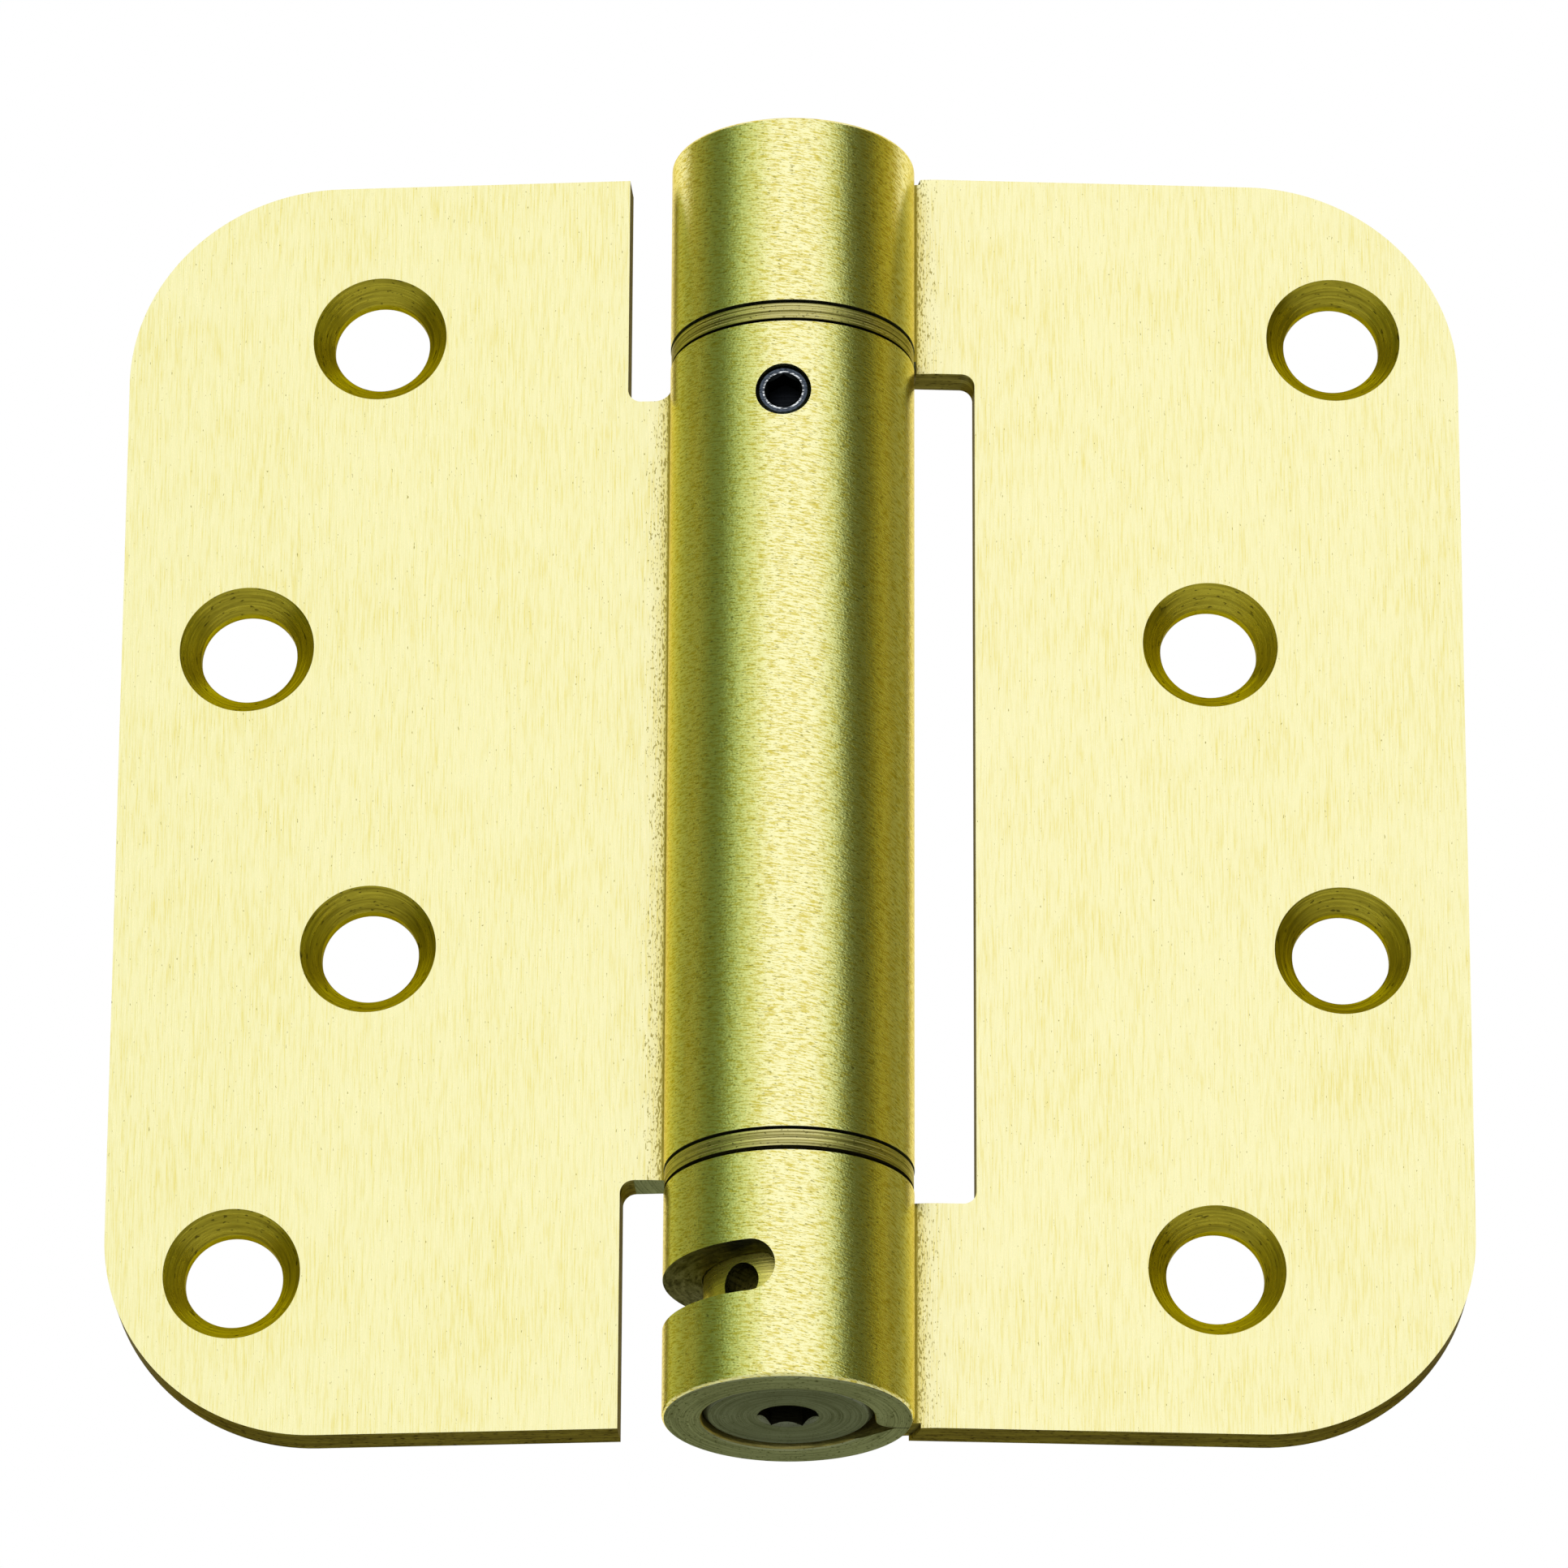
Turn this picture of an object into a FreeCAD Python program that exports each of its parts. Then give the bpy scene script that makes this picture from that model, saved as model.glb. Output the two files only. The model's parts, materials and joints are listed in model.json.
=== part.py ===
import FreeCAD, Part
import math
import os

from FreeCAD import Rotation, Vector

# Millimetres. The barrel's axis is Z, with the origin on it at mid height. The
# countersunk faces look along -Y, and the right leaf lies along +X.

# Leaves
leaf_height = 101.6
leaf_reach = 50.8
sheet = 2.9
corner_radius = 15.875
notch_radius = 1.0
front_set_back = 1.0
rest_angle = 7.0

# Notches between the leaves and the knuckles
right_notch_width = 4.65
left_notch_width = 3.35
right_notch_lead = 1.05
left_notch_drop = 1.55
barrel_shoulder = 1.4
ring_clearance = 0.2

# Rolled barrel
barrel_radius = 9.25
back_blend = 1.0
swage_width = 2.2
swage_depth = 0.25
seam_gap = 0.1
lip_radius = 1.6
rim_break = 0.3
mouth_break = 0.35

# Stack along the axis; the centre barrel takes what is left of the leaf's height
lower_knuckle = 17.6
upper_knuckle = 15.38
lower_washer = 0.2
upper_washer = 0.12
flange = 1.6
end_float = 0.05

# Screw holes, from the axis and from mid height
outer_hole_x = 41.3
inner_hole_x = 31.65
end_hole_z = 38.0
middle_hole_z = 12.35
hole_radius = 3.65
countersink_radius = 5.1
countersink_angle = 82.0
hole_back_break = 0.4

# Slot in the lower knuckle for the tension pin
slot_height = 4.0
slot_front_angle = 248.8
slot_back_angle = 102.0

# Flanged bearings and thrust washers
flange_inset = 0.05
washer_inset = 0.55
fit_gap = 0.02
running_gap = 0.05
upper_wall = 2.35
lower_wall = 1.95
upper_sleeve = 3.0
lower_sleeve = 2.9
bearing_break = 0.15

# Pivot and plug in the upper knuckle
pivot_head_rise = 2.0
plug_space = 2.18
plug_thickness = 2.4
plug_recess = 0.3
small_break = 0.3

# Spring and what holds its ends
wire = 2.3
coil_clearance = 0.45
coil_pitch = 2.55
steps_per_turn = 16
wire_sides = 8
tang_clearance = 0.1
tang_inset = 0.3
nose_clearance = 0.3
nose_length = 4.6
anchor_length = 9.4
anchor_gap = 0.2

# Set screw in the centre barrel
screw_radius = 2.08
screw_drop = 5.65
screw_recess = 0.25
screw_length = 4.4
screw_socket = 2.4
screw_socket_depth = 2.0
screw_cup_radius = 1.1
screw_cup_depth = 0.6
screw_break = 0.45

# Tension adjuster in the lower knuckle
adjuster_gap = 0.1
adjuster_recess = 0.3
adjuster_break = 0.4
key_size = 3.97
key_depth = 7.0
pin_hole_radius = 1.5
pin_hole_depth = 3.2
pin_hole_count = 4
pin_hole_angle = 232.9

# Snap ring on the adjuster
clip_thickness = 0.8
clip_clearance = 0.45
groove_depth = 0.6
clip_opening = 60.0
clip_gap = 0.1

# Worked out from the sizes above
half_height = leaf_height / 2
leaf_back = front_set_back + sheet
bore_radius = barrel_radius - sheet
right_notch_x = barrel_radius + right_notch_width
left_notch_x = barrel_radius + left_notch_width
seam_y = front_set_back + swage_depth
lower_knuckle_top = -half_height + lower_knuckle
lower_flange_z = lower_knuckle_top + lower_washer + end_float
barrel_bottom = lower_flange_z + flange
upper_knuckle_bottom = half_height - upper_knuckle
upper_flange_top = upper_knuckle_bottom - upper_washer - end_float
barrel_top = upper_flange_top - flange
slot_z = -half_height + lower_knuckle / 2
screw_z = barrel_top - screw_drop
anchor_top = barrel_top - upper_sleeve - anchor_gap
anchor_bottom = anchor_top - anchor_length
journal_top = barrel_bottom + lower_sleeve + clip_gap + clip_thickness * 2
flange_radius = barrel_radius - flange_inset
washer_radius = barrel_radius - washer_inset
upper_journal = bore_radius - upper_wall
lower_journal = bore_radius - lower_wall
coil_radius = bore_radius - coil_clearance - wire / 2
nose_radius = coil_radius - wire / 2 - nose_clearance
adjuster_radius = bore_radius - adjuster_gap
clip_radius = bore_radius - clip_clearance
groove_radius = lower_journal - groove_depth
z_axis = Vector(0, 0, 1)


def polar(radius, degrees, z=0.0):
    """Point at a radius and an angle round the barrel's axis, from +X."""
    turn = math.radians(degrees)
    return Vector(radius * math.cos(turn), radius * math.sin(turn), z)


def face(edges):
    """Flat face inside a closed run of edges."""
    return Part.Face(Part.Wire(Part.__sortEdges__(edges)))


def polygon(points):
    """Flat face with straight sides."""
    return Part.Face(Part.makePolygon(points + points[:1]))


def arc(start, middle, end):
    """Edge along the circle through three points."""
    return Part.Arc(start, middle, end).toShape()


def line(start, end):
    """Straight edge."""
    return Part.LineSegment(start, end).toShape()


def turned(outline):
    """Solid of revolution about the Z axis from (radius, z) points."""
    points = [Vector(radius, 0, z) for radius, z in outline]
    return polygon(points).revolve(Vector(0, 0, 0), z_axis, 360)


def hexagon(across_flats, depth):
    """Hexagonal prism that stands on the XY plane."""
    corner = across_flats / math.sqrt(3)
    return polygon([polar(corner, 60 * side) for side in range(6)]).extrude(Vector(0, 0, depth))


def radial(shape, degrees, z):
    """Moves a shape that stands on Z so that it points out from the axis."""
    lying = shape.copy()
    lying.rotate(Vector(0, 0, 0), Vector(0, 1, 0), 90)
    lying.rotate(Vector(0, 0, 0), z_axis, degrees)
    lying.translate(Vector(0, 0, z))
    return lying


def knuckle_section():
    """Section of the +X leaf and its rolled knuckle, square to the axis."""
    outer = barrel_radius + back_blend
    blend_y = leaf_back + back_blend
    blend = Vector(math.sqrt(outer**2 - blend_y**2), blend_y, 0)
    on_barrel = blend * (barrel_radius / outer)
    on_leaf = Vector(blend.x, leaf_back, 0)
    inward = (on_barrel - blend).normalize() + (on_leaf - blend).normalize()
    blend_middle = blend + inward.normalize() * back_blend

    crease = Vector(math.sqrt(barrel_radius**2 - seam_y**2), seam_y, 0)
    crease_turn = math.degrees(math.atan2(crease.y, crease.x))
    blend_turn = math.degrees(math.atan2(on_barrel.y, on_barrel.x))
    far_side = polar(barrel_radius, (crease_turn + blend_turn - 360) / 2)

    swage_radius = (swage_width**2 + swage_depth**2) / (2 * swage_depth)
    swage_turn = math.asin(swage_width / swage_radius)
    swage_end = Vector(crease.x + swage_width, front_set_back, 0)
    swage_middle = swage_end + Vector(
        -swage_radius * math.sin(swage_turn / 2), swage_radius * (1 - math.cos(swage_turn / 2)), 0
    )
    back_end = Vector(leaf_reach, leaf_back, 0)
    front_end = Vector(leaf_reach, front_set_back, 0)
    outline = face(
        [
            arc(crease, far_side, on_barrel),
            arc(on_barrel, blend_middle, on_leaf),
            line(on_leaf, back_end),
            line(back_end, front_end),
            line(front_end, swage_end),
            arc(swage_end, swage_middle, crease),
        ]
    )
    bore = Part.Face(Part.Wire(Part.makeCircle(bore_radius)))
    return outline.cut(bore).cut(seam_section())


def seam_section():
    """Gap where the roll's rounded end comes back to the leaf."""
    end_y = seam_y - seam_gap
    lip_y = end_y - lip_radius
    lip = Vector(math.sqrt((bore_radius + lip_radius) ** 2 - lip_y**2), lip_y, 0)
    lip_start = lip * (bore_radius / (bore_radius + lip_radius))
    lip_end = Vector(lip.x, end_y, 0)
    inward = (lip_start - lip).normalize() + (lip_end - lip).normalize()
    lip_middle = lip + inward.normalize() * lip_radius
    tip = Vector(lip.x, seam_y, 0)
    tangent_turn = math.acos(bore_radius / tip.Length) + math.atan2(tip.y, tip.x)
    tangent = polar(bore_radius, math.degrees(tangent_turn))
    inside = Vector(bore_radius / 2, seam_y, 0)
    wedge = face(
        [
            line(inside, lip_start),
            arc(lip_start, lip_middle, lip_end),
            line(lip_end, tip),
            line(tip, tangent),
            line(tangent, inside),
        ]
    )
    outside_x = barrel_radius + swage_width
    slit = polygon(
        [
            Vector(lip.x - seam_gap, end_y, 0),
            Vector(outside_x, end_y, 0),
            Vector(outside_x, seam_y, 0),
            Vector(lip.x - seam_gap, seam_y, 0),
        ]
    )
    return wedge.fuse(slit)


def front_prism(edges):
    """Prism along Y through the whole hinge, from edges drawn in the XZ plane."""
    depth = 2 * (barrel_radius + sheet)
    prism = face(edges).extrude(Vector(0, 2 * depth, 0))
    prism.translate(Vector(0, -depth, 0))
    return prism


def leaf_outline():
    """Front view of the +X leaf: square at the barrel, rounded at its outer corners."""
    inner_x = -barrel_radius - sheet
    corner_x = leaf_reach - corner_radius
    corner_z = half_height - corner_radius
    diagonal = corner_radius * math.sqrt(0.5)
    top_corner = Vector(corner_x + diagonal, 0, corner_z + diagonal)
    low_corner = Vector(corner_x + diagonal, 0, -corner_z - diagonal)
    return front_prism(
        [
            line(Vector(inner_x, 0, -half_height), Vector(corner_x, 0, -half_height)),
            arc(Vector(corner_x, 0, -half_height), low_corner, Vector(leaf_reach, 0, -corner_z)),
            line(Vector(leaf_reach, 0, -corner_z), Vector(leaf_reach, 0, corner_z)),
            arc(Vector(leaf_reach, 0, corner_z), top_corner, Vector(corner_x, 0, half_height)),
            line(Vector(corner_x, 0, half_height), Vector(inner_x, 0, half_height)),
            line(Vector(inner_x, 0, half_height), Vector(inner_x, 0, -half_height)),
        ]
    )


def window(low_x, high_x, low_z, high_z, low_round=False, high_round=False):
    """Cut-out in the front view, with the named corners on its high X side rounded."""
    turn = notch_radius * (1 - math.sqrt(0.5))
    low_left = Vector(low_x, 0, low_z)
    high_left = Vector(low_x, 0, high_z)
    low_in = notch_radius if low_round else 0.0
    high_in = notch_radius if high_round else 0.0
    low_end = Vector(high_x - low_in, 0, low_z)
    low_side = Vector(high_x, 0, low_z + low_in)
    high_side = Vector(high_x, 0, high_z - high_in)
    high_end = Vector(high_x - high_in, 0, high_z)
    edges = [line(low_left, low_end), line(low_side, high_side), line(high_end, high_left)]
    edges.append(line(high_left, low_left))
    if low_round:
        edges.append(arc(low_end, Vector(high_x - turn, 0, low_z + turn), low_side))
    if high_round:
        edges.append(arc(high_side, Vector(high_x - turn, 0, high_z - turn), high_end))
    return front_prism(edges)


def screw_hole(x, z):
    """Countersunk hole that opens on the front of the +X leaf."""
    slope = math.tan(math.radians(countersink_angle / 2))
    cone_depth = (countersink_radius - hole_radius) / slope
    lead = 1.0
    shape = turned(
        [
            (0, -lead),
            (countersink_radius + lead * slope, -lead),
            (hole_radius, cone_depth),
            (hole_radius, sheet - hole_back_break),
            (hole_radius + hole_back_break + lead, sheet + lead),
            (0, sheet + lead),
        ]
    )
    shape.rotate(Vector(0, 0, 0), Vector(1, 0, 0), -90)
    shape.translate(Vector(x, front_set_back, z))
    return shape


def end_breaks(z, upward):
    """Bevels on the outer rim and the bore's mouth at one end of a knuckle."""
    sign = 1 if upward else -1
    reach = rim_break + mouth_break
    rim = turned(
        [
            (barrel_radius - rim_break, z),
            (barrel_radius, z - sign * rim_break),
            (barrel_radius, z + sign * reach),
            (barrel_radius - rim_break, z + sign * reach),
        ]
    )
    mouth = turned(
        [
            (0, z - sign * mouth_break),
            (bore_radius, z - sign * mouth_break),
            (bore_radius + mouth_break, z),
            (0, z),
        ]
    )
    return rim.fuse(mouth)


def blank_leaf(holes):
    """The +X leaf with its knuckle rolled over the full height, holes cut."""
    solid = knuckle_section().extrude(Vector(0, 0, leaf_height))
    solid.translate(Vector(0, 0, -half_height))
    solid = solid.common(leaf_outline())
    for x, z in holes:
        solid = solid.cut(screw_hole(x, z))
    return solid


def tension_slot():
    """Slot round part of the lower knuckle, with round ends."""
    outside = barrel_radius + sheet
    inside = bore_radius - sheet / 2
    sweep = slot_front_angle - slot_back_angle
    band = polygon(
        [
            Vector(inside, 0, slot_z - slot_height / 2),
            Vector(outside, 0, slot_z - slot_height / 2),
            Vector(outside, 0, slot_z + slot_height / 2),
            Vector(inside, 0, slot_z + slot_height / 2),
        ]
    ).revolve(Vector(0, 0, 0), z_axis, sweep)
    band.rotate(Vector(0, 0, 0), z_axis, slot_back_angle)
    for angle in (slot_front_angle, slot_back_angle):
        end = Part.makeCylinder(slot_height / 2, outside - inside, Vector(0, 0, inside))
        band = band.fuse(radial(end, angle, slot_z))
    return band


def right_leaf():
    """Right leaf: one sheet with the upper and the lower knuckle rolled from it."""
    holes = [
        (outer_hole_x, end_hole_z),
        (inner_hole_x, middle_hole_z),
        (outer_hole_x, -middle_hole_z),
        (inner_hole_x, -end_hole_z),
    ]
    solid = blank_leaf(holes)
    beyond = -barrel_radius - sheet
    notch_top = upper_knuckle_bottom - right_notch_lead
    ring_side = barrel_radius + ring_clearance
    solid = solid.cut(window(beyond, right_notch_x, lower_knuckle_top, notch_top, True, True))
    solid = solid.cut(window(beyond, ring_side, notch_top - sheet, upper_knuckle_bottom))
    solid = solid.cut(end_breaks(half_height, True))
    solid = solid.cut(end_breaks(-half_height, False))
    return solid.cut(tension_slot())


def left_leaf():
    """Left leaf: one sheet with the centre barrel rolled from it, at its rest angle."""
    holes = [
        (inner_hole_x, end_hole_z),
        (outer_hole_x, middle_hole_z),
        (inner_hole_x, -middle_hole_z),
        (outer_hole_x, -end_hole_z),
    ]
    solid = blank_leaf(holes)
    beyond = -barrel_radius - sheet
    over = half_height + sheet
    notch_z = barrel_top - left_notch_drop
    solid = solid.cut(window(beyond, left_notch_x, -over, barrel_bottom, False, True))
    solid = solid.cut(window(beyond, barrel_radius + barrel_shoulder, barrel_top, over))
    solid = solid.cut(shoulder_window(notch_z, over))
    tapped = Part.makeCylinder(screw_radius + fit_gap, 2 * sheet, Vector(0, 0, bore_radius - sheet / 2))
    solid = solid.cut(radial(tapped, -90, screw_z))
    return place_left(solid)


def shoulder_window(low_z, high_z):
    """Notch above the centre barrel, which curves up to the barrel's end."""
    inner_x = barrel_radius
    top_z = low_z + barrel_shoulder
    foot_x = inner_x + barrel_shoulder
    bow = barrel_shoulder * (1 - math.sqrt(0.5))
    turn = notch_radius * (1 - math.sqrt(0.5))
    outer_x = left_notch_x
    return front_prism(
        [
            line(Vector(inner_x, 0, high_z), Vector(inner_x, 0, top_z)),
            arc(
                Vector(inner_x, 0, top_z),
                Vector(inner_x + bow, 0, low_z + bow),
                Vector(foot_x, 0, low_z),
            ),
            line(Vector(foot_x, 0, low_z), Vector(outer_x - notch_radius, 0, low_z)),
            arc(
                Vector(outer_x - notch_radius, 0, low_z),
                Vector(outer_x - turn, 0, low_z + turn),
                Vector(outer_x, 0, low_z + notch_radius),
            ),
            line(Vector(outer_x, 0, low_z + notch_radius), Vector(outer_x, 0, high_z)),
            line(Vector(outer_x, 0, high_z), Vector(inner_x, 0, high_z)),
        ]
    )


def place_left(shape):
    """Turns a piece drawn on the right leaf's side into its place on the left leaf."""
    placed = shape.mirror(Vector(0, 0, 0), Vector(1, 0, 0))
    placed.rotate(Vector(0, 0, 0), z_axis, -rest_angle)
    return placed


def bearing(journal, sleeve, up):
    """Flanged bearing: the flange stands on z = 0 and the sleeve goes down, or up."""
    sign = 1 if up else -1
    bore = journal + running_gap
    outer = bore_radius - fit_gap
    return turned(
        [
            (bore, sign * flange),
            (flange_radius - bearing_break, sign * flange),
            (flange_radius, sign * (flange - bearing_break)),
            (flange_radius, sign * bearing_break),
            (flange_radius - bearing_break, 0),
            (outer, 0),
            (outer, -sign * (sleeve - bearing_break)),
            (outer - bearing_break, -sign * sleeve),
            (bore, -sign * sleeve),
        ]
    )


def upper_bearing():
    """Bearing at the top of the centre barrel."""
    solid = bearing(upper_journal, upper_sleeve, True)
    solid.translate(Vector(0, 0, barrel_top))
    return solid


def lower_bearing():
    """Bearing at the bottom of the centre barrel."""
    solid = bearing(lower_journal, lower_sleeve, False)
    solid.translate(Vector(0, 0, barrel_bottom))
    return solid


def washer(journal, thickness, z):
    """Flat thrust washer round a journal."""
    bore = journal + 2 * running_gap
    return Part.makeCylinder(washer_radius, thickness, Vector(0, 0, z)).cut(
        Part.makeCylinder(bore, thickness, Vector(0, 0, z))
    )


def upper_pivot():
    """Steel pivot: its head is pressed in the upper knuckle, its journal turns in the bearing."""
    head = bore_radius - fit_gap
    head_z = upper_knuckle_bottom + pivot_head_rise
    head_top = half_height - plug_recess - plug_thickness - plug_space
    tip_z = anchor_top + anchor_gap / 2
    return turned(
        [
            (0, tip_z),
            (upper_journal - small_break, tip_z),
            (upper_journal, tip_z + small_break),
            (upper_journal, head_z),
            (head - small_break, head_z),
            (head, head_z + small_break),
            (head, head_top - small_break),
            (head - small_break, head_top),
            (0, head_top),
        ]
    )


def top_plug():
    """Plug that closes the upper knuckle."""
    radius = bore_radius - fit_gap
    top_z = half_height - plug_recess
    low_z = top_z - plug_thickness
    return turned(
        [
            (0, low_z),
            (radius - small_break, low_z),
            (radius, low_z + small_break),
            (radius, top_z - small_break),
            (radius - small_break, top_z),
            (0, top_z),
        ]
    )


def nose_slot(z):
    """Slot across a nose for the spring's straight end, centred on the wire's height."""
    width = wire + 2 * tang_clearance
    length = 2 * (nose_radius + wire)
    slot = Part.makeBox(length, width, width, Vector(-length / 2, -width / 2, z - width / 2))
    return slot


def coil_ends():
    """Heights of the wire's centre at the coil's lower and upper end."""
    return journal_top + wire / 2 + tang_clearance, anchor_bottom - wire / 2 - tang_clearance


def spring_anchor():
    """Plug that the set screw holds in the centre barrel, slotted for the spring."""
    radius = bore_radius - fit_gap
    solid = turned(
        [
            (0, anchor_bottom - nose_length),
            (nose_radius, anchor_bottom - nose_length),
            (nose_radius, anchor_bottom),
            (radius - small_break, anchor_bottom),
            (radius, anchor_bottom + small_break),
            (radius, anchor_top - small_break),
            (radius - small_break, anchor_top),
            (0, anchor_top),
        ]
    )
    seat = barrel_radius - screw_recess - screw_length
    recess = Part.makeCylinder(screw_radius + fit_gap, bore_radius, Vector(0, 0, seat))
    solid = place_left(solid.cut(radial(recess, -90, screw_z)))
    return solid.cut(nose_slot(coil_ends()[1]))


def anchor_set_screw():
    """Cup-point socket set screw through the front of the centre barrel."""
    outer = barrel_radius - screw_recess
    inner = outer - screw_length
    solid = turned(
        [
            (0, inner + screw_cup_depth),
            (screw_cup_radius, inner),
            (screw_radius - screw_break, inner),
            (screw_radius, inner + screw_break),
            (screw_radius, outer - screw_break),
            (screw_radius - screw_break, outer),
            (0, outer),
        ]
    )
    socket = hexagon(screw_socket, screw_socket_depth)
    socket.translate(Vector(0, 0, outer - screw_socket_depth))
    return place_left(radial(solid.cut(socket), -90, screw_z))


def wire_path():
    """Points of the spring's wire: a straight end, a left-hand coil and a straight end."""
    low_z, high_z = coil_ends()
    half_turns = math.floor(2 * (high_z - low_z) / coil_pitch)
    steps = half_turns * steps_per_turn // 2
    sweep = -180 * half_turns
    tang_end = nose_radius - tang_inset
    points = [polar(tang_end, 180, low_z)]
    for step in range(steps + 1):
        share = step / steps
        points.append(polar(coil_radius, sweep * share, low_z + (high_z - low_z) * share))
    points.append(polar(tang_end, 180 + sweep, high_z))
    return points


def wire_section(before, point, after):
    """Section of the wire in the mitre plane between two straight steps."""
    ahead = (point - before).normalize()
    beyond = (after - point).normalize()
    mitre = ahead + beyond
    side = ahead.cross(z_axis).normalize()
    up = side.cross(ahead)
    corner = wire / 2 / math.cos(math.pi / wire_sides)
    corners = []
    for number in range(wire_sides):
        turn = 2 * math.pi * (number + 0.5) / wire_sides
        offset = side * (corner * math.cos(turn)) + up * (corner * math.sin(turn))
        corners.append(point + offset - ahead * (mitre.dot(offset) / mitre.dot(ahead)))
    return Part.makePolygon(corners + corners[:1])


def torsion_spring():
    """Round-wire torsion spring with both ends bent in across the axis."""
    points = wire_path()
    first = points[0] * 2 - points[1]
    last = points[-1] * 2 - points[-2]
    padded = [first] + points + [last]
    sections = []
    for index in range(1, len(padded) - 1):
        sections.append(wire_section(padded[index - 1], padded[index], padded[index + 1]))
    spring = Part.makeLoft(sections, True, True)
    return spring if spring.Volume > 0 else spring.reversed()


def tension_adjuster():
    """Adjuster in the lower knuckle: key socket below, pin holes, journal and slotted nose."""
    low_z = -half_height + adjuster_recess
    body_top = lower_knuckle_top - end_float
    groove_low = barrel_bottom + lower_sleeve + clip_gap / 2
    groove_high = groove_low + clip_thickness + clip_gap
    solid = turned(
        [
            (0, low_z),
            (adjuster_radius - adjuster_break, low_z),
            (adjuster_radius, low_z + adjuster_break),
            (adjuster_radius, body_top - small_break),
            (adjuster_radius - small_break, body_top),
            (lower_journal, body_top),
            (lower_journal, groove_low),
            (groove_radius, groove_low),
            (groove_radius, groove_high),
            (lower_journal, groove_high),
            (lower_journal, journal_top),
            (nose_radius, journal_top),
            (nose_radius, journal_top + nose_length),
            (0, journal_top + nose_length),
        ]
    )
    socket = hexagon(key_size, key_depth)
    socket.translate(Vector(0, 0, low_z))
    solid = solid.cut(socket).cut(nose_slot(coil_ends()[0]))
    floor = adjuster_radius - pin_hole_depth
    hole = Part.makeCylinder(pin_hole_radius, 2 * pin_hole_depth, Vector(0, 0, floor))
    for number in range(pin_hole_count):
        angle = pin_hole_angle + 360 / pin_hole_count * number
        solid = solid.cut(radial(hole, angle, slot_z))
    return solid


def adjuster_clip():
    """Open snap ring that keeps the adjuster's journal in the lower bearing."""
    low_z = barrel_bottom + lower_sleeve + clip_gap
    ring = polygon(
        [
            Vector(groove_radius + fit_gap, 0, low_z),
            Vector(clip_radius, 0, low_z),
            Vector(clip_radius, 0, low_z + clip_thickness),
            Vector(groove_radius + fit_gap, 0, low_z + clip_thickness),
        ]
    ).revolve(Vector(0, 0, 0), z_axis, 360 - clip_opening)
    ring.rotate(Vector(0, 0, 0), z_axis, clip_opening / 2)
    return ring


def pieces():
    """Every piece of the hinge by its name."""
    return {
        "right_leaf": right_leaf(),
        "left_leaf": left_leaf(),
        "upper_bearing": upper_bearing(),
        "lower_bearing": lower_bearing(),
        "upper_thrust_washer": washer(upper_journal, upper_washer, upper_flange_top + end_float),
        "lower_thrust_washer": washer(lower_journal, lower_washer, lower_knuckle_top),
        "upper_pivot": upper_pivot(),
        "top_plug": top_plug(),
        "spring_anchor": spring_anchor(),
        "anchor_set_screw": anchor_set_screw(),
        "torsion_spring": torsion_spring(),
        "tension_adjuster": tension_adjuster(),
        "adjuster_clip": adjuster_clip(),
    }


def main():
    """Builds every piece and writes one STEP file for each."""
    os.makedirs("parts", exist_ok=True)
    for name, shape in pieces().items():
        solid = shape.removeSplitter()
        solid.exportStep(f"parts/{name}.step")
        box = solid.BoundBox
        print(
            f"{name}: {len(solid.Solids)} solid, valid {solid.isValid()}, volume {solid.Volume:.2f},"
            f" x {box.XMin:.2f} to {box.XMax:.2f}, y {box.YMin:.2f} to {box.YMax:.2f},"
            f" z {box.ZMin:.2f} to {box.ZMax:.2f}"
        )


main()
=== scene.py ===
"""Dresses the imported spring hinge: finer meshes and brushed brass round the fixed frame.

Shapes are drawn in millimetres in the hinge's own frame, with the barrel's axis on Z and the
countersunk faces towards -Y, and are turned to metres when a piece is made.
"""

from __future__ import annotations

import json
import logging
import math
from contextlib import contextmanager
from dataclasses import dataclass, field, replace
from enum import Enum
from typing import Callable, Iterable, Iterator, Sequence

import bmesh
import bpy
from mathutils import Matrix, Vector

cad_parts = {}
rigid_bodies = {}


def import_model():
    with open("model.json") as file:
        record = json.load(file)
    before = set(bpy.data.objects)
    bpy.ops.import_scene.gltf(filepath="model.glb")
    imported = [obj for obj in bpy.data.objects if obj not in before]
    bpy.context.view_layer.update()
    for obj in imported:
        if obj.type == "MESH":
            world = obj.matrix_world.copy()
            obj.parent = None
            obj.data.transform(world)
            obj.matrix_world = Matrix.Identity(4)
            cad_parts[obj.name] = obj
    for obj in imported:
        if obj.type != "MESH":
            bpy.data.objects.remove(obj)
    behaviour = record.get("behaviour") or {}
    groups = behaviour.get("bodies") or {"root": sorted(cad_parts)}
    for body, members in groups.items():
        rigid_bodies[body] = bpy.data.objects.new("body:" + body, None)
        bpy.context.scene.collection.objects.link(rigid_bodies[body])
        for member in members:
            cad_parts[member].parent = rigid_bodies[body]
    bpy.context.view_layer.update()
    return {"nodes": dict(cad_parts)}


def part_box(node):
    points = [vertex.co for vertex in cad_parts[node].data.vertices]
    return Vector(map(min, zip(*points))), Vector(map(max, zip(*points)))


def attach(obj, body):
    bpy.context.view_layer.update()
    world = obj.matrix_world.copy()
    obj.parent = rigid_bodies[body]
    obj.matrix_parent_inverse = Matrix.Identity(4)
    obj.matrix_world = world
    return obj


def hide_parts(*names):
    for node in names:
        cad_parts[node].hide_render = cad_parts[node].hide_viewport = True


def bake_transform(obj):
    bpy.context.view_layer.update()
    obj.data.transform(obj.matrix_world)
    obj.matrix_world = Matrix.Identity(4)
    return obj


LOG = logging.getLogger("spring_hinge")
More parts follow.
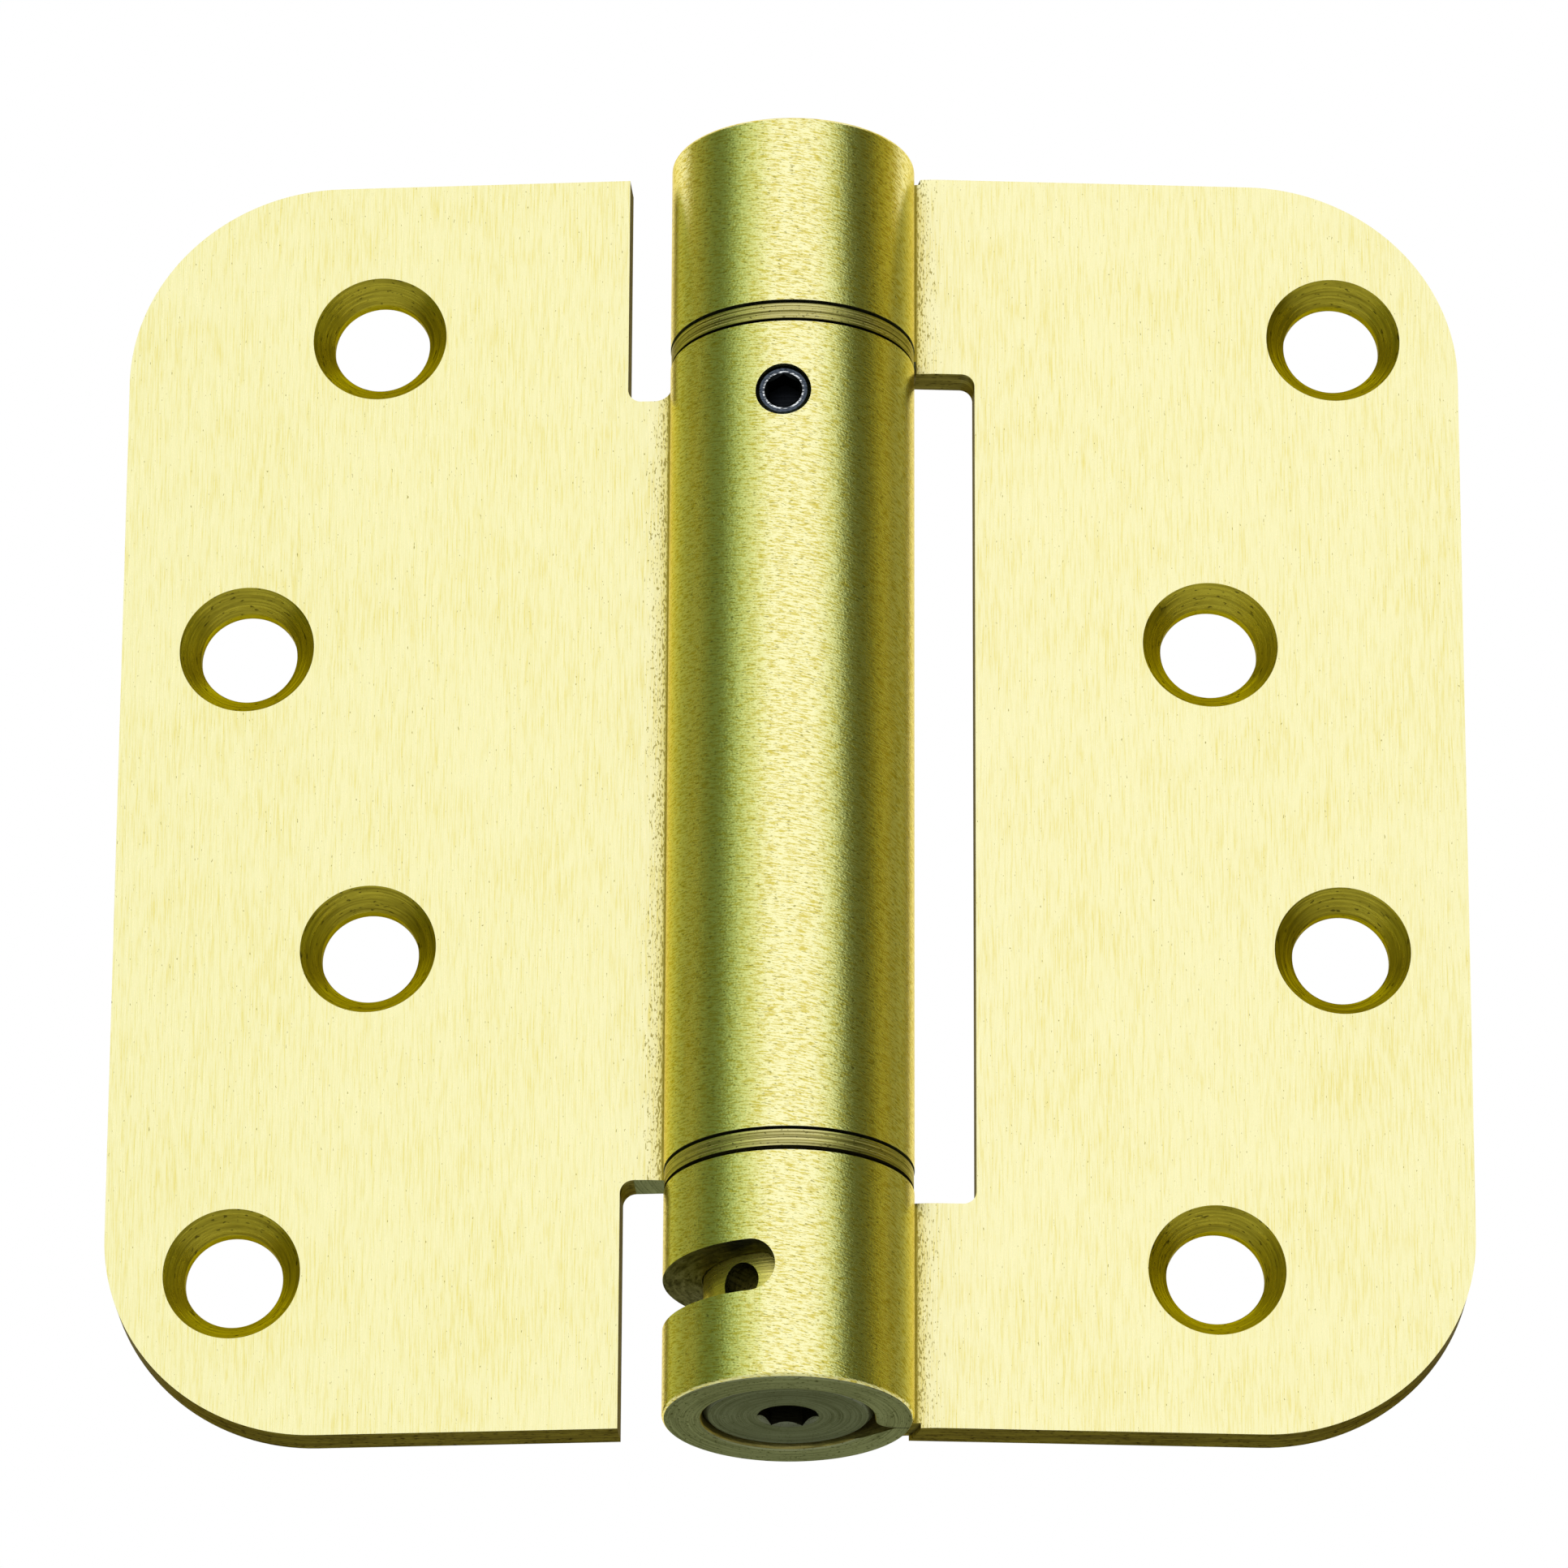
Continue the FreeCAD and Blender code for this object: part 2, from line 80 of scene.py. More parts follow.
MM = 0.001
BARREL_RADIUS = 9.25
# How far past flat the left leaf rests, in degrees.
LEAF_ANGLE = 7.0
# Angles past which an edge is shaded sharp, and past which it can be broken.
SHARP_ANGLE = math.radians(32)
BROKEN_ANGLE = math.radians(40)
# Distances in millimetres below which points are merged, and lie on the axis.
MERGE = 0.0005
ON_AXIS = 1e-6
# Slack in millimetres where a face's or an edge's place is tested.
CLOSE = 0.01
NEAR = 0.1
# Cosine past which a direction runs along an axis.
ALONG = 0.9
# How far a cutter reaches through a leaf, and how far it stands past other faces.
THROUGH = 20.0
MARGIN = 1.0
# Turns the highlight's stretch across the fine marks, as a share of a whole turn.
QUARTER_TURN = 0.25
Point = tuple[float, float]
Colour = tuple[float, float, float]
Value = float | int | bool | tuple | bpy.types.NodeSocket


class Body(Enum):
    """Bodies of the frame that the pieces ride on."""

    FRAME_LEAF = "frame_leaf"
    DOOR_LEAF = "door_leaf"
    ADJUSTER = "adjuster"


class Slot(Enum):
    """Slots of the record, one passed for each piece."""

    SATIN_BRASS = "satin_brass"
    TURNED_BRONZE = "turned_bronze"
    ADJUSTER_BRASS = "adjuster_brass"
    DARK_STEEL = "dark_steel"
    BLACK_OXIDE = "black_oxide"
    SPRING_STEEL = "spring_steel"


class Grain(Enum):
    """Which way a finish's fine marks run."""

    ALONG_Z = "along the barrel"
    ROUND_Z = "round the barrel"
    RINGS_Z = "rings on a face square to the barrel"
    DEPTH = "rings round a hole in the leaf"


class Nodes:
    """Small helper that adds nodes to a tree and links them by socket."""

    def __init__(self, tree: bpy.types.NodeTree) -> None:
        """Keeps the tree that nodes are added to.

        Args:
            tree: The shader or geometry node tree.
        """
        self.tree = tree

    @classmethod
    def fresh(cls, owner: bpy.types.Material | bpy.types.World) -> Nodes:
        """Turns on the nodes of a material or a world, empties them and returns a helper on them."""
        owner.use_nodes = True
        owner.node_tree.nodes.clear()
        return cls(owner.node_tree)

    def surface(self, shader: bpy.types.Node) -> None:
        """Links a shader to a new material output."""
        self.add("ShaderNodeOutputMaterial", {"Surface": shader.outputs[0]})

    def feed(self, socket: bpy.types.NodeSocket, value: Value) -> None:
        """Links a socket to another one or sets its constant.

        Args:
            socket: The input to feed.
            value: An output socket, or a plain value.
        """
        if isinstance(value, bpy.types.NodeSocket):
            self.tree.links.new(value, socket)
        else:
            socket.default_value = value

    def add(self, kind: str, inputs: dict | None = None, **settings: object) -> bpy.types.Node:
        """Adds a node.

        Args:
            kind: The node's type name.
            inputs: Values or sockets by input name or number.
            settings: Properties of the node itself.

        Returns:
            The new node.
        """
        node = self.tree.nodes.new(kind)
        for name, value in settings.items():
            setattr(node, name, value)
        for name, value in (inputs or {}).items():
            self.feed(node.inputs[name], value)
        return node

    def math(self, operation: str, *values: Value) -> bpy.types.NodeSocket:
        """Adds a Math node and returns its output."""
        node = self.add("ShaderNodeMath", dict(enumerate(values)), operation=operation)
        return node.outputs[0]

    def span(self, value: Value, low: Value, high: Value, first: Value, last: Value) -> bpy.types.NodeSocket:
        """Adds a clamped Map Range node.

        Args:
            value: What is mapped.
            low: The value that gives first.
            high: The value that gives last.
            first: Result at low and beyond.
            last: Result at high and beyond.

        Returns:
            The mapped value.
        """
        limits = {"Value": value, "From Min": low, "From Max": high, "To Min": first, "To Max": last}
        return self.add("ShaderNodeMapRange", limits).outputs[0]

    def ramp(self, value: Value, stops: Sequence[tuple[float, tuple]]) -> bpy.types.NodeSocket:
        """Adds a colour ramp.

        Args:
            value: The factor.
            stops: Positions with their RGB colours, from low to high.

        Returns:
            The colour output.
        """
        node = self.add("ShaderNodeValToRGB", {"Fac": value})
        elements = node.color_ramp.elements
        while len(elements) < len(stops):
            elements.new(0.5)
        for element, (position, colour) in zip(elements, stops):
            element.position = position
            element.color = (*colour, 1.0)
        return node.outputs["Color"]

    def mix(self, factor: Value, first: Value, second: Value, blend: str = "MIX") -> bpy.types.NodeSocket:
        """Adds a colour mix and returns its result."""
        node = self.add("ShaderNodeMix", data_type="RGBA", blend_type=blend)
        self.feed(node.inputs["Factor"], factor)
        for name, value in (("A", first), ("B", second)):
            socket = next(s for s in node.inputs if s.name == name and s.type == "RGBA")
            self.feed(socket, (*value, 1.0) if isinstance(value, tuple) else value)
        return next(s for s in node.outputs if s.type == "RGBA")


@dataclass(frozen=True)
class Crease:
    """Dirt specks and painted shade in the crease beside the barrel, by distance from its axis.

    Specks grow denser from outer to a little past inner, as dirt and as painted shade on the
    swage. A dark ragged line of painted shade lies in the crease itself: line says how far past
    inner it stays full, and where it ends.
    """

    inner: float = 9.2
    outer: float = 11.6
    full: float = 0.3
    density: float = 0.25
    ragged: float = 0.3
    # Painted shade: where the dark line in the crease stays full and where it ends, and its strength.
    line: Point = (0.5, 0.62)
    strength: float = 0.95


@dataclass(frozen=True)
class Finish:
    """A metal finish with fine marks, grain and specks, worked out from object coordinates."""

    name: str
    light: Colour
    dark: Colour
    # Colour of dirt specks, and on the leaf also of the painted shade in the crease.
    speck_and_crease_shade: Colour
    grain: Grain
    roughness: float = 0.3
    roughness_spread: float = 0.06
    mark_width: float = 0.1
    mark_length: float = 4.0
    mark_depth: float = 1.5
    mark_slant: float = 0.0
    mark_share: float = 0.7
    bump: float = 0.012
    grit: float = 0.2
    grit_stretch: float = 1.6
    grit_share: float = 0.35
    patch_size: float = 9.0
    speck_size: tuple[float, float] = (0.16, 0.3)
    speck_edge: float = 0.7
    speck_blur: float = 0.05
    speck_strength: float = 0.8
    wall_stretch: float = 0.3
    noise_roughness: float = 0.55
    rough_range: Point = (0.35, 0.65)
    contrast: Point = (0.36, 0.6)
    edge_tint: Colour = (1.0, 1.0, 1.0)
    anisotropy: float = 0.0
    # Dirt specks and painted shade along the crease beside the barrel.
    crease: Crease | None = None
    turn: float = 0.0

    def coordinates(self, nodes: Nodes) -> tuple[bpy.types.NodeSocket, bpy.types.NodeSocket]:
        """Point in millimetres, laid out so that X runs across the marks and Z along them.

        Args:
            nodes: Helper on the material's tree.

        Returns:
            The laid out vector, and the distance from the barrel's axis.
        """
        place = nodes.add("ShaderNodeTexCoord").outputs["Object"]
        turned_place = nodes.add(
            "ShaderNodeMapping",
            {"Vector": place, "Rotation": (0.0, 0.0, self.turn), "Scale": (1 / MM, 1 / MM, 1 / MM)},
        )
        split = nodes.add("ShaderNodeSeparateXYZ", {"Vector": turned_place.outputs[0]})
        x, y, z = split.outputs
        square = nodes.math("ADD", nodes.math("MULTIPLY", x, x), nodes.math("MULTIPLY", y, y))
        radius = nodes.math("SQRT", square)
        if self.grain is Grain.ALONG_Z:
            return turned_place.outputs[0], radius
        round_axis = nodes.math("MULTIPLY", nodes.math("ARCTAN2", y, x), BARREL_RADIUS)
        slanted = nodes.math("ADD", z, nodes.math("MULTIPLY", round_axis, self.mark_slant))
        wall_x, wall_z = (nodes.math("MULTIPLY", value, self.wall_stretch) for value in (x, z))
        layout = {
            Grain.ROUND_Z: (slanted, radius, round_axis),
            Grain.RINGS_Z: (radius, z, round_axis),
            Grain.DEPTH: (y, wall_x, wall_z),
        }[self.grain]
        return nodes.add("ShaderNodeCombineXYZ", dict(enumerate(layout))).outputs[0], radius

    def noise(
        self, nodes: Nodes, where: bpy.types.NodeSocket, size: Sequence[float], detail: float
    ) -> bpy.types.NodeSocket:
        """Noise whose features have the given size in millimetres.

        Args:
            nodes: Helper on the material's tree.
            where: The laid out coordinates.
            size: Feature size across, through and along the marks.
            detail: Octaves of the noise.

        Returns:
            The noise value, from 0 to 1.
        """
        scaled = nodes.add("ShaderNodeMapping", {"Vector": where, "Scale": tuple(1 / s for s in size)})
        texture = nodes.add(
            "ShaderNodeTexNoise",
            {"Vector": scaled.outputs[0], "Scale": 1.0, "Detail": detail, "Roughness": self.noise_roughness},
        )
        return texture.outputs[0]

    def dirt_and_crease_shade(
        self, nodes: Nodes, radius: bpy.types.NodeSocket, specks: bpy.types.NodeSocket
    ) -> bpy.types.NodeSocket:
        """How much of the speck colour shows: scattered dirt specks, denser beside the crease where
        they also paint shade, and a ragged line of painted shade in the crease itself.

        Args:
            nodes: Helper on the material's tree.
            radius: Distance from the barrel's axis.
            specks: The noise that places the specks.

        Returns:
            A factor from 0 to 1.
        """
        edge: Value = self.speck_edge
        line: Value = 0.0
        fold = self.crease
        if fold:
            # Painted shade: denser specks beside the crease and a dark ragged line in it.
            near = nodes.span(radius, fold.outer, fold.inner + fold.full, 0.0, fold.density)
            edge = nodes.math("SUBTRACT", self.speck_edge, near)
            ragged = nodes.math("MULTIPLY_ADD", specks, fold.ragged, radius)
            dark, unshaded = (fold.inner + reach for reach in fold.line)
            line = nodes.span(ragged, unshaded, dark, 0.0, fold.strength)
        over = nodes.math("SUBTRACT", specks, edge)
        scattered = nodes.span(over, 0.0, self.speck_blur, 0.0, self.speck_strength)
        return nodes.math("MAXIMUM", scattered, line)

    def material(self) -> bpy.types.Material:
        """Builds the material, or returns it if it is there already."""
        made = bpy.data.materials.get(self.name)
        if made:
            return made
        made = bpy.data.materials.new(self.name)
        nodes = Nodes.fresh(made)
        where, radius = self.coordinates(nodes)
        marks = self.noise(nodes, where, (self.mark_width, self.mark_depth, self.mark_length), 3.0)
        grit = self.noise(nodes, where, (self.grit, self.grit, self.grit * self.grit_stretch), 2.0)
        patch = self.noise(nodes, where, (self.patch_size,) * 3, 2.0)
        across, along = self.speck_size
        specks = self.noise(nodes, where, (across, across, along), 1.0)
        grit_part = self.grit_share * (1 - self.mark_share)
        rest = 1 - self.mark_share - grit_part
        shade = nodes.math("MULTIPLY", marks, self.mark_share)
        for noise, part in ((grit, grit_part), (patch, rest)):
            shade = nodes.math("ADD", shade, nodes.math("MULTIPLY", noise, part))
        low, high = self.contrast
        colour = nodes.ramp(shade, [(low, self.dark), (high, self.light)])
        # The speck colour marks dirt, and on the leaf also the painted shade of the crease.
        colour = nodes.mix(self.dirt_and_crease_shade(nodes, radius, specks), colour, self.speck_and_crease_shade)
        spread = self.roughness_spread
        rough = nodes.span(shade, *self.rough_range, self.roughness + spread, self.roughness - spread)
        relief = nodes.math("ADD", marks, nodes.math("MULTIPLY", grit, self.grit_share))
        bump = nodes.add("ShaderNodeBump", {"Strength": 1.0, "Distance": self.bump * MM, "Height": relief})
        surface = nodes.add(
            "ShaderNodeBsdfPrincipled",
            {
                "Base Color": colour,
                "Metallic": 1.0,
                "Roughness": rough,
                "Specular Tint": (*self.edge_tint, 1.0),
                "Anisotropic": self.anisotropy,
                "Anisotropic Rotation": QUARTER_TURN,
                "Tangent": nodes.add("ShaderNodeCombineXYZ", {2: 1.0}).outputs[0],
                "Normal": bump.outputs[0],
            },
        )
        nodes.surface(surface)
        return made


@dataclass(frozen=True)
class Finishes:
    """Every finish of the hinge, by the surface that it is on."""

    # The leaf carries dirt specks and painted shade along its crease.
    leaf: Finish = Finish(
        "brushed_leaf", (1.0, 0.945, 0.55), (0.95, 0.835, 0.31), (0.33, 0.27, 0.04), Grain.ALONG_Z,
        roughness=0.32, anisotropy=0.4, mark_width=0.085, mark_length=2.4, mark_share=0.74, grit=0.12,
        speck_size=(0.12, 0.34), speck_edge=0.745, contrast=(0.33, 0.5), edge_tint=(0.97, 0.88, 0.5),
        crease=Crease(),
    )
    barrel: Finish = Finish(
        "satin_barrel", (1.0, 0.965, 0.53), (0.74, 0.63, 0.13), (0.3, 0.26, 0.035), Grain.ROUND_Z,
        roughness=0.2, roughness_spread=0.05, mark_width=0.13, mark_length=0.8, mark_slant=0.16,
        mark_share=0.72, bump=0.022, grit=0.13, grit_share=0.8, speck_size=(0.12, 0.45), speck_edge=0.625,
        speck_strength=0.7, contrast=(0.4, 0.53), edge_tint=(0.9, 0.76, 0.3),
    )
    # Dark base colour and edge tint on the sheet's cut edges: painted shade over their sheared grain.
    cut_edge: Finish = Finish(
        "sheared_edge_painted_shade", (0.25, 0.225, 0.085), (0.105, 0.093, 0.032), (0.03, 0.025, 0.008), Grain.DEPTH,
        roughness=0.42, mark_width=0.2, speck_edge=0.62, edge_tint=(0.3, 0.25, 0.08),
    )
    # Darker than the leaf: painted shade on the walls of the countersunk holes, over their turned rings.
    hole_wall: Finish = Finish(
        "turned_hole_wall_painted_shade", (0.5, 0.43, 0.045), (0.25, 0.21, 0.02), (0.07, 0.06, 0.008), Grain.DEPTH,
        roughness=0.3, mark_width=0.14, mark_length=1.2, bump=0.02, speck_edge=0.66,
        edge_tint=(0.42, 0.36, 0.08),
    )
    # Dark: painted shade on the walls of the slot and of the adjuster's pin holes.
    slot_wall: Finish = Finish(
        "milled_slot_wall_painted_shade", (0.2, 0.2, 0.12), (0.07, 0.07, 0.045), (0.03, 0.025, 0.01), Grain.RINGS_Z,
        roughness=0.4, mark_width=0.3, mark_length=1.5, speck_edge=0.6, edge_tint=(0.35, 0.33, 0.22),
    )
    # Dark: painted shade inside the rolled bore.
    bore: Finish = Finish(
        "rolled_bore_painted_shade", (0.3, 0.26, 0.09), (0.14, 0.12, 0.04), (0.05, 0.04, 0.015), Grain.ROUND_Z,
        roughness=0.45, mark_length=1.5, edge_tint=(0.5, 0.42, 0.15),
    )
    # Dark: painted shade on the knuckles' end faces between the parts.
    barrel_end: Finish = Finish(
        "faced_barrel_end_painted_shade", (0.28, 0.3, 0.175), (0.14, 0.15, 0.085), (0.03, 0.028, 0.014), Grain.RINGS_Z,
        roughness=0.42, mark_width=0.14, mark_length=9.0, speck_edge=0.64, edge_tint=(0.4, 0.42, 0.28),
    )
    # Near black: painted shadow in the leaf's slit and in the relief and broken edge of each bearing's
    # flange.
    seam: Finish = Finish(
        "painted_seam_shadow", (0.02, 0.017, 0.008), (0.01, 0.008, 0.004), (0.005, 0.005, 0.003), Grain.ROUND_Z,
        roughness=0.6, edge_tint=(0.2, 0.17, 0.1),
    )
    ring: Finish = Finish(
        "turned_ring", (0.72, 0.67, 0.3), (0.19, 0.17, 0.045), (0.08, 0.07, 0.02), Grain.ROUND_Z,
        roughness=0.27, mark_width=0.09, mark_length=30.0, mark_share=0.9, bump=0.03, contrast=(0.4, 0.58),
        speck_edge=0.66, edge_tint=(0.8, 0.68, 0.3),
    )
    adjuster: Finish = Finish(
        "turned_adjuster", (0.96, 0.86, 0.28), (0.62, 0.54, 0.14), (0.12, 0.1, 0.02), Grain.ROUND_Z,
        mark_width=0.14, mark_length=20.0, speck_edge=0.66, edge_tint=(0.7, 0.6, 0.2),
    )
    # Dark: painted shade on the adjuster's lower face, sunk in the barrel's end.
    adjuster_end: Finish = Finish(
        "faced_adjuster_end_painted_shade", (0.175, 0.19, 0.14), (0.1, 0.108, 0.076), (0.03, 0.03, 0.018), Grain.RINGS_Z,
        roughness=0.4, mark_width=0.12, mark_length=14.0, speck_edge=0.66, edge_tint=(0.4, 0.42, 0.28),
    )
    # Near black: painted shadow in the adjuster's key socket.
    socket: Finish = Finish(
        "painted_socket_shadow", (0.03, 0.028, 0.016), (0.012, 0.011, 0.006), (0.006, 0.006, 0.004), Grain.ROUND_Z,
        roughness=0.5, edge_tint=(0.3, 0.3, 0.2),
    )
    plug_end: Finish = Finish(
        "faced_plug", (0.93, 0.85, 0.42), (0.72, 0.64, 0.25), (0.35, 0.3, 0.08), Grain.RINGS_Z,
        mark_width=0.14, mark_length=14.0, bump=0.02, edge_tint=(0.9, 0.78, 0.4),
    )
    bright_steel: Finish = Finish(
        "turned_steel", (0.62, 0.61, 0.58), (0.5, 0.49, 0.46), (0.2, 0.19, 0.18), Grain.ROUND_Z,
        mark_length=20.0,
    )
    dark_steel: Finish = Finish(
        "blued_steel", (0.04, 0.037, 0.03), (0.018, 0.016, 0.013), (0.008, 0.008, 0.008), Grain.RINGS_Z,
        roughness=0.45, edge_tint=(0.3, 0.3, 0.28),
    )
    screw: Finish = Finish(
        "black_oxide_screw", (0.085, 0.105, 0.135), (0.025, 0.032, 0.045), (0.01, 0.01, 0.01),
        Grain.ROUND_Z, roughness=0.24, mark_length=0.4, grit=0.12, contrast=(0.42, 0.56),
    )
    # Worn rim round the socket, with near-white patches: wear and painted highlight.
    screw_rim: Finish = Finish(
        "worn_screw_rim_painted_highlight", (0.9, 0.94, 0.98), (0.07, 0.08, 0.1), (0.03, 0.035, 0.04), Grain.ROUND_Z,
        roughness=0.3, mark_length=0.5, patch_size=1.2, contrast=(0.49, 0.57),
    )
    # Near black: painted shadow in the set screw's socket.
    screw_socket: Finish = Finish(
        "painted_screw_socket_shadow", (0.012, 0.014, 0.018), (0.006, 0.007, 0.009), (0.004, 0.004, 0.005),
        Grain.ROUND_Z, roughness=0.45, edge_tint=(0.2, 0.22, 0.25),
    )
    spring: Finish = Finish(
        "oiled_spring_wire", (0.3, 0.29, 0.27), (0.2, 0.19, 0.17), (0.08, 0.07, 0.06), Grain.ROUND_Z,
        roughness=0.35,
    )

    def for_left(self) -> Finishes:
        """The same finishes, with the patterns of the flat leaf turned to lie along the left one."""
        turned_looks = {}
        for part in ("leaf", "cut_edge", "hole_wall"):
            look = getattr(self, part)
            turned_looks[part] = replace(look, name=f"left_{look.name}", turn=math.radians(LEAF_ANGLE))
        return replace(self, **turned_looks)


def polar(radius: float, degrees: float) -> Point:
    """Point at a radius and an angle from +X."""
    turn = math.radians(degrees)
    return radius * math.cos(turn), radius * math.sin(turn)


def outward(centre: Vector, normal: Vector) -> float:
    """How much a face looks away from the barrel's axis, from 1 to -1 for one that looks at it."""
    return (centre.x * normal.x + centre.y * normal.y) / max(math.hypot(centre.x, centre.y), NEAR)


def arc(centre: Point, radius: float, start: float, end: float, steps: int) -> list[Point]:
    """Points along an arc.

    Args:
        centre: The arc's centre.
        radius: Its radius.
        start: First angle in degrees from +X.
        end: Last angle in degrees.
        steps: How many straight steps it has.

    Returns:
        One point more than there are steps.
    """
    points = []
    for step in range(steps + 1):
        x, y = polar(radius, start + (end - start) * step / steps)
        points.append((centre[0] + x, centre[1] + y))
    return points


def rounded(outline: Sequence[Point], radii: dict[int, float], steps: int = 4) -> list[Point]:
    """Rounds named corners of a closed outline.

    Args:
        outline: Corner points in order.
        radii: Radius by the corner's number.
        steps: Straight steps in each rounding.

    Returns:
        The outline with arcs at those corners.
    """
    points: list[Point] = []
    count = len(outline)
    for i, here in enumerate(outline):
        if i not in radii:
            points.append(here)
            continue
        corner = Vector(here)
        before = (Vector(outline[i - 1]) - corner).normalized()
        after = (Vector(outline[(i + 1) % count]) - corner).normalized()
        half = before.angle(after) / 2
        reach = radii[i] / math.tan(half)
        centre = corner + (before + after).normalized() * (radii[i] / math.sin(half))
        start = corner + before * reach - centre
        end = corner + after * reach - centre
        turn = math.atan2(start.x * end.y - start.y * end.x, start.dot(end))
        first = math.atan2(start.y, start.x)
        for step in range(steps + 1):
            x, y = polar(radii[i], math.degrees(first + turn * step / steps))
            points.append((centre.x + x, centre.y + y))
    return points


def new_object(name: str, data: bpy.types.Mesh | bpy.types.Camera) -> bpy.types.Object:
    """Adds an object at the origin for a mesh or a camera."""
    made = bpy.data.objects.new(name, data)
    bpy.context.scene.collection.objects.link(made)
    return made


def from_bmesh(name: str, shape: bmesh.types.BMesh) -> bpy.types.Object:
    """Turns a bmesh into an object and frees it.

    Args:
        name: The object's name.
        shape: The bmesh, in millimetres.

    Returns:
        The new object, still in millimetres.
    """
    mesh = bpy.data.meshes.new(name)
    bmesh.ops.recalc_face_normals(shape, faces=shape.faces)
    shape.to_mesh(mesh)
    shape.free()
    return new_object(name, mesh)


def prism(
    name: str, outline: Sequence[Point], low: float, high: float, front: bool = False
) -> bpy.types.Object:
    """Straight prism over a closed outline.

    Args:
        name: The object's name.
        outline: Corner points in order.
        low: Where the prism starts along its direction.
        high: Where it ends.
        front: Outline in the XZ plane and direction Y, in place of XY and Z.

    Returns:
        A closed object in millimetres.
    """
    shape = bmesh.new()

    def corner(point: Point, depth: float) -> bmesh.types.BMVert:
        """Adds one corner at a depth."""
        x, v = point
        return shape.verts.new((x, depth, v) if front else (x, v, depth))

    bottom = [corner(p, low) for p in outline]
    top = [corner(p, high) for p in outline]
    shape.faces.new(bottom)
    shape.faces.new(top)
    for i, vert in enumerate(bottom):
        j = (i + 1) % len(bottom)
        shape.faces.new((vert, bottom[j], top[j], top[i]))
    return from_bmesh(name, shape)


def turned(name: str, outline: Sequence[Point], steps: int = 128) -> bpy.types.Object:
    """Solid of revolution about Z.

    Args:
        name: The object's name.
        outline: (radius, z) points of a closed section, in order.
        steps: Sides round the axis.

    Returns:
        A closed object in millimetres.
    """
    shape = bmesh.new()
    rings = []
    for radius, z in outline:
        if radius < ON_AXIS:
            rings.append([shape.verts.new((0, 0, z))] * steps)
            continue
        ring = []
        for step in range(steps):
            x, y = polar(radius, 360 * step / steps)
            ring.append(shape.verts.new((x, y, z)))
        rings.append(ring)
    for i, ring in enumerate(rings):
        after = rings[(i + 1) % len(rings)]
        if ring[0] is ring[1] and after[0] is after[1]:
            continue
        for step in range(steps):
            beside = (step + 1) % steps
            corners = dict.fromkeys((ring[step], ring[beside], after[beside], after[step]))
            shape.faces.new(list(corners))
    return from_bmesh(name, shape)


def hexagon_reach(across_flats: float) -> float:
    """Distance of a hexagon's corners from its middle."""
    return across_flats / math.sqrt(3)


def hexagon(across_flats: float) -> list[Point]:
    """Corners of a hexagon with one on +X."""
    return [polar(hexagon_reach(across_flats), 60 * side) for side in range(6)]


def point_outward(target: bpy.types.Object, degrees: float, z: float) -> None:
    """Moves a piece that stands on Z so that it points out from the barrel's axis."""
    target.data.transform(Matrix.Rotation(math.radians(90), 4, "Y"))
    target.data.transform(Matrix.Rotation(math.radians(degrees), 4, "Z"))
    target.data.transform(Matrix.Translation((0, 0, z)))


def bake_modifiers(target: bpy.types.Object) -> None:
    """Turns an object and its modifiers into a plain mesh."""
    graph = bpy.context.evaluated_depsgraph_get()
    graph.update()
    mesh = bpy.data.meshes.new_from_object(target.evaluated_get(graph))
    target.modifiers.clear()
    old = target.data
    target.data = mesh
    bpy.data.meshes.remove(old)


def boolean(target: bpy.types.Object, tools: Iterable[bpy.types.Object], operation: str) -> None:
    """Cuts or intersects an object with others, which are then deleted.

    Args:
        target: The object that is changed.
        tools: The cutting objects.
        operation: DIFFERENCE or INTERSECT.
    """
    for tool in tools:
        modifier = target.modifiers.new("cut", "BOOLEAN")
        modifier.operation = operation
        modifier.solver = "EXACT"
        modifier.object = tool
        bake_modifiers(target)
        bpy.data.objects.remove(tool)


@contextmanager
def editing(target: bpy.types.Object) -> Iterator[bmesh.types.BMesh]:
    """Opens an object's mesh for editing, then turns its faces outward and writes it back."""
    shape = bmesh.new()
    shape.from_mesh(target.data)
    yield shape
    bmesh.ops.recalc_face_normals(shape, faces=shape.faces)
    shape.to_mesh(target.data)
    shape.free()


def break_edges(
    target: bpy.types.Object, width: float, wanted: Callable[[Vector, Vector], bool], segments: int = 2
) -> None:
    """Rounds the sharp edges of a mesh that a test picks.

    Args:
        target: The object, in millimetres.
        width: Width of the rounding.
        wanted: Says from an edge's middle and its direction whether it is rounded.
        segments: Steps in the rounding.
    """
    with editing(target) as shape:
        bmesh.ops.remove_doubles(shape, verts=shape.verts, dist=MERGE)
        bmesh.ops.dissolve_degenerate(shape, edges=shape.edges, dist=MERGE)
        chosen = []
        for edge in shape.edges:
            if len(edge.link_faces) != 2 or edge.calc_face_angle(0.0) < BROKEN_ANGLE:
                continue
            middle = (edge.verts[0].co + edge.verts[1].co) / 2
            along = edge.verts[1].co - edge.verts[0].co
            if wanted(middle, along.normalized()):
                chosen.append(edge)
        bmesh.ops.bevel(
            shape,
            geom=chosen,
            offset=width,
            segments=segments,
            profile=0.5,
            affect="EDGES",
            clamp_overlap=True,
        )


def move_mesh(target: bpy.types.Object, matrix: Matrix) -> None:
    """Moves or mirrors a mesh and turns its faces outward again.

    Args:
        target: The object, in millimetres.
        matrix: The transform of its mesh.
    """
    with editing(target) as shape:
        bmesh.ops.transform(shape, matrix=matrix, verts=shape.verts)
        bmesh.ops.remove_doubles(shape, verts=shape.verts, dist=MERGE)


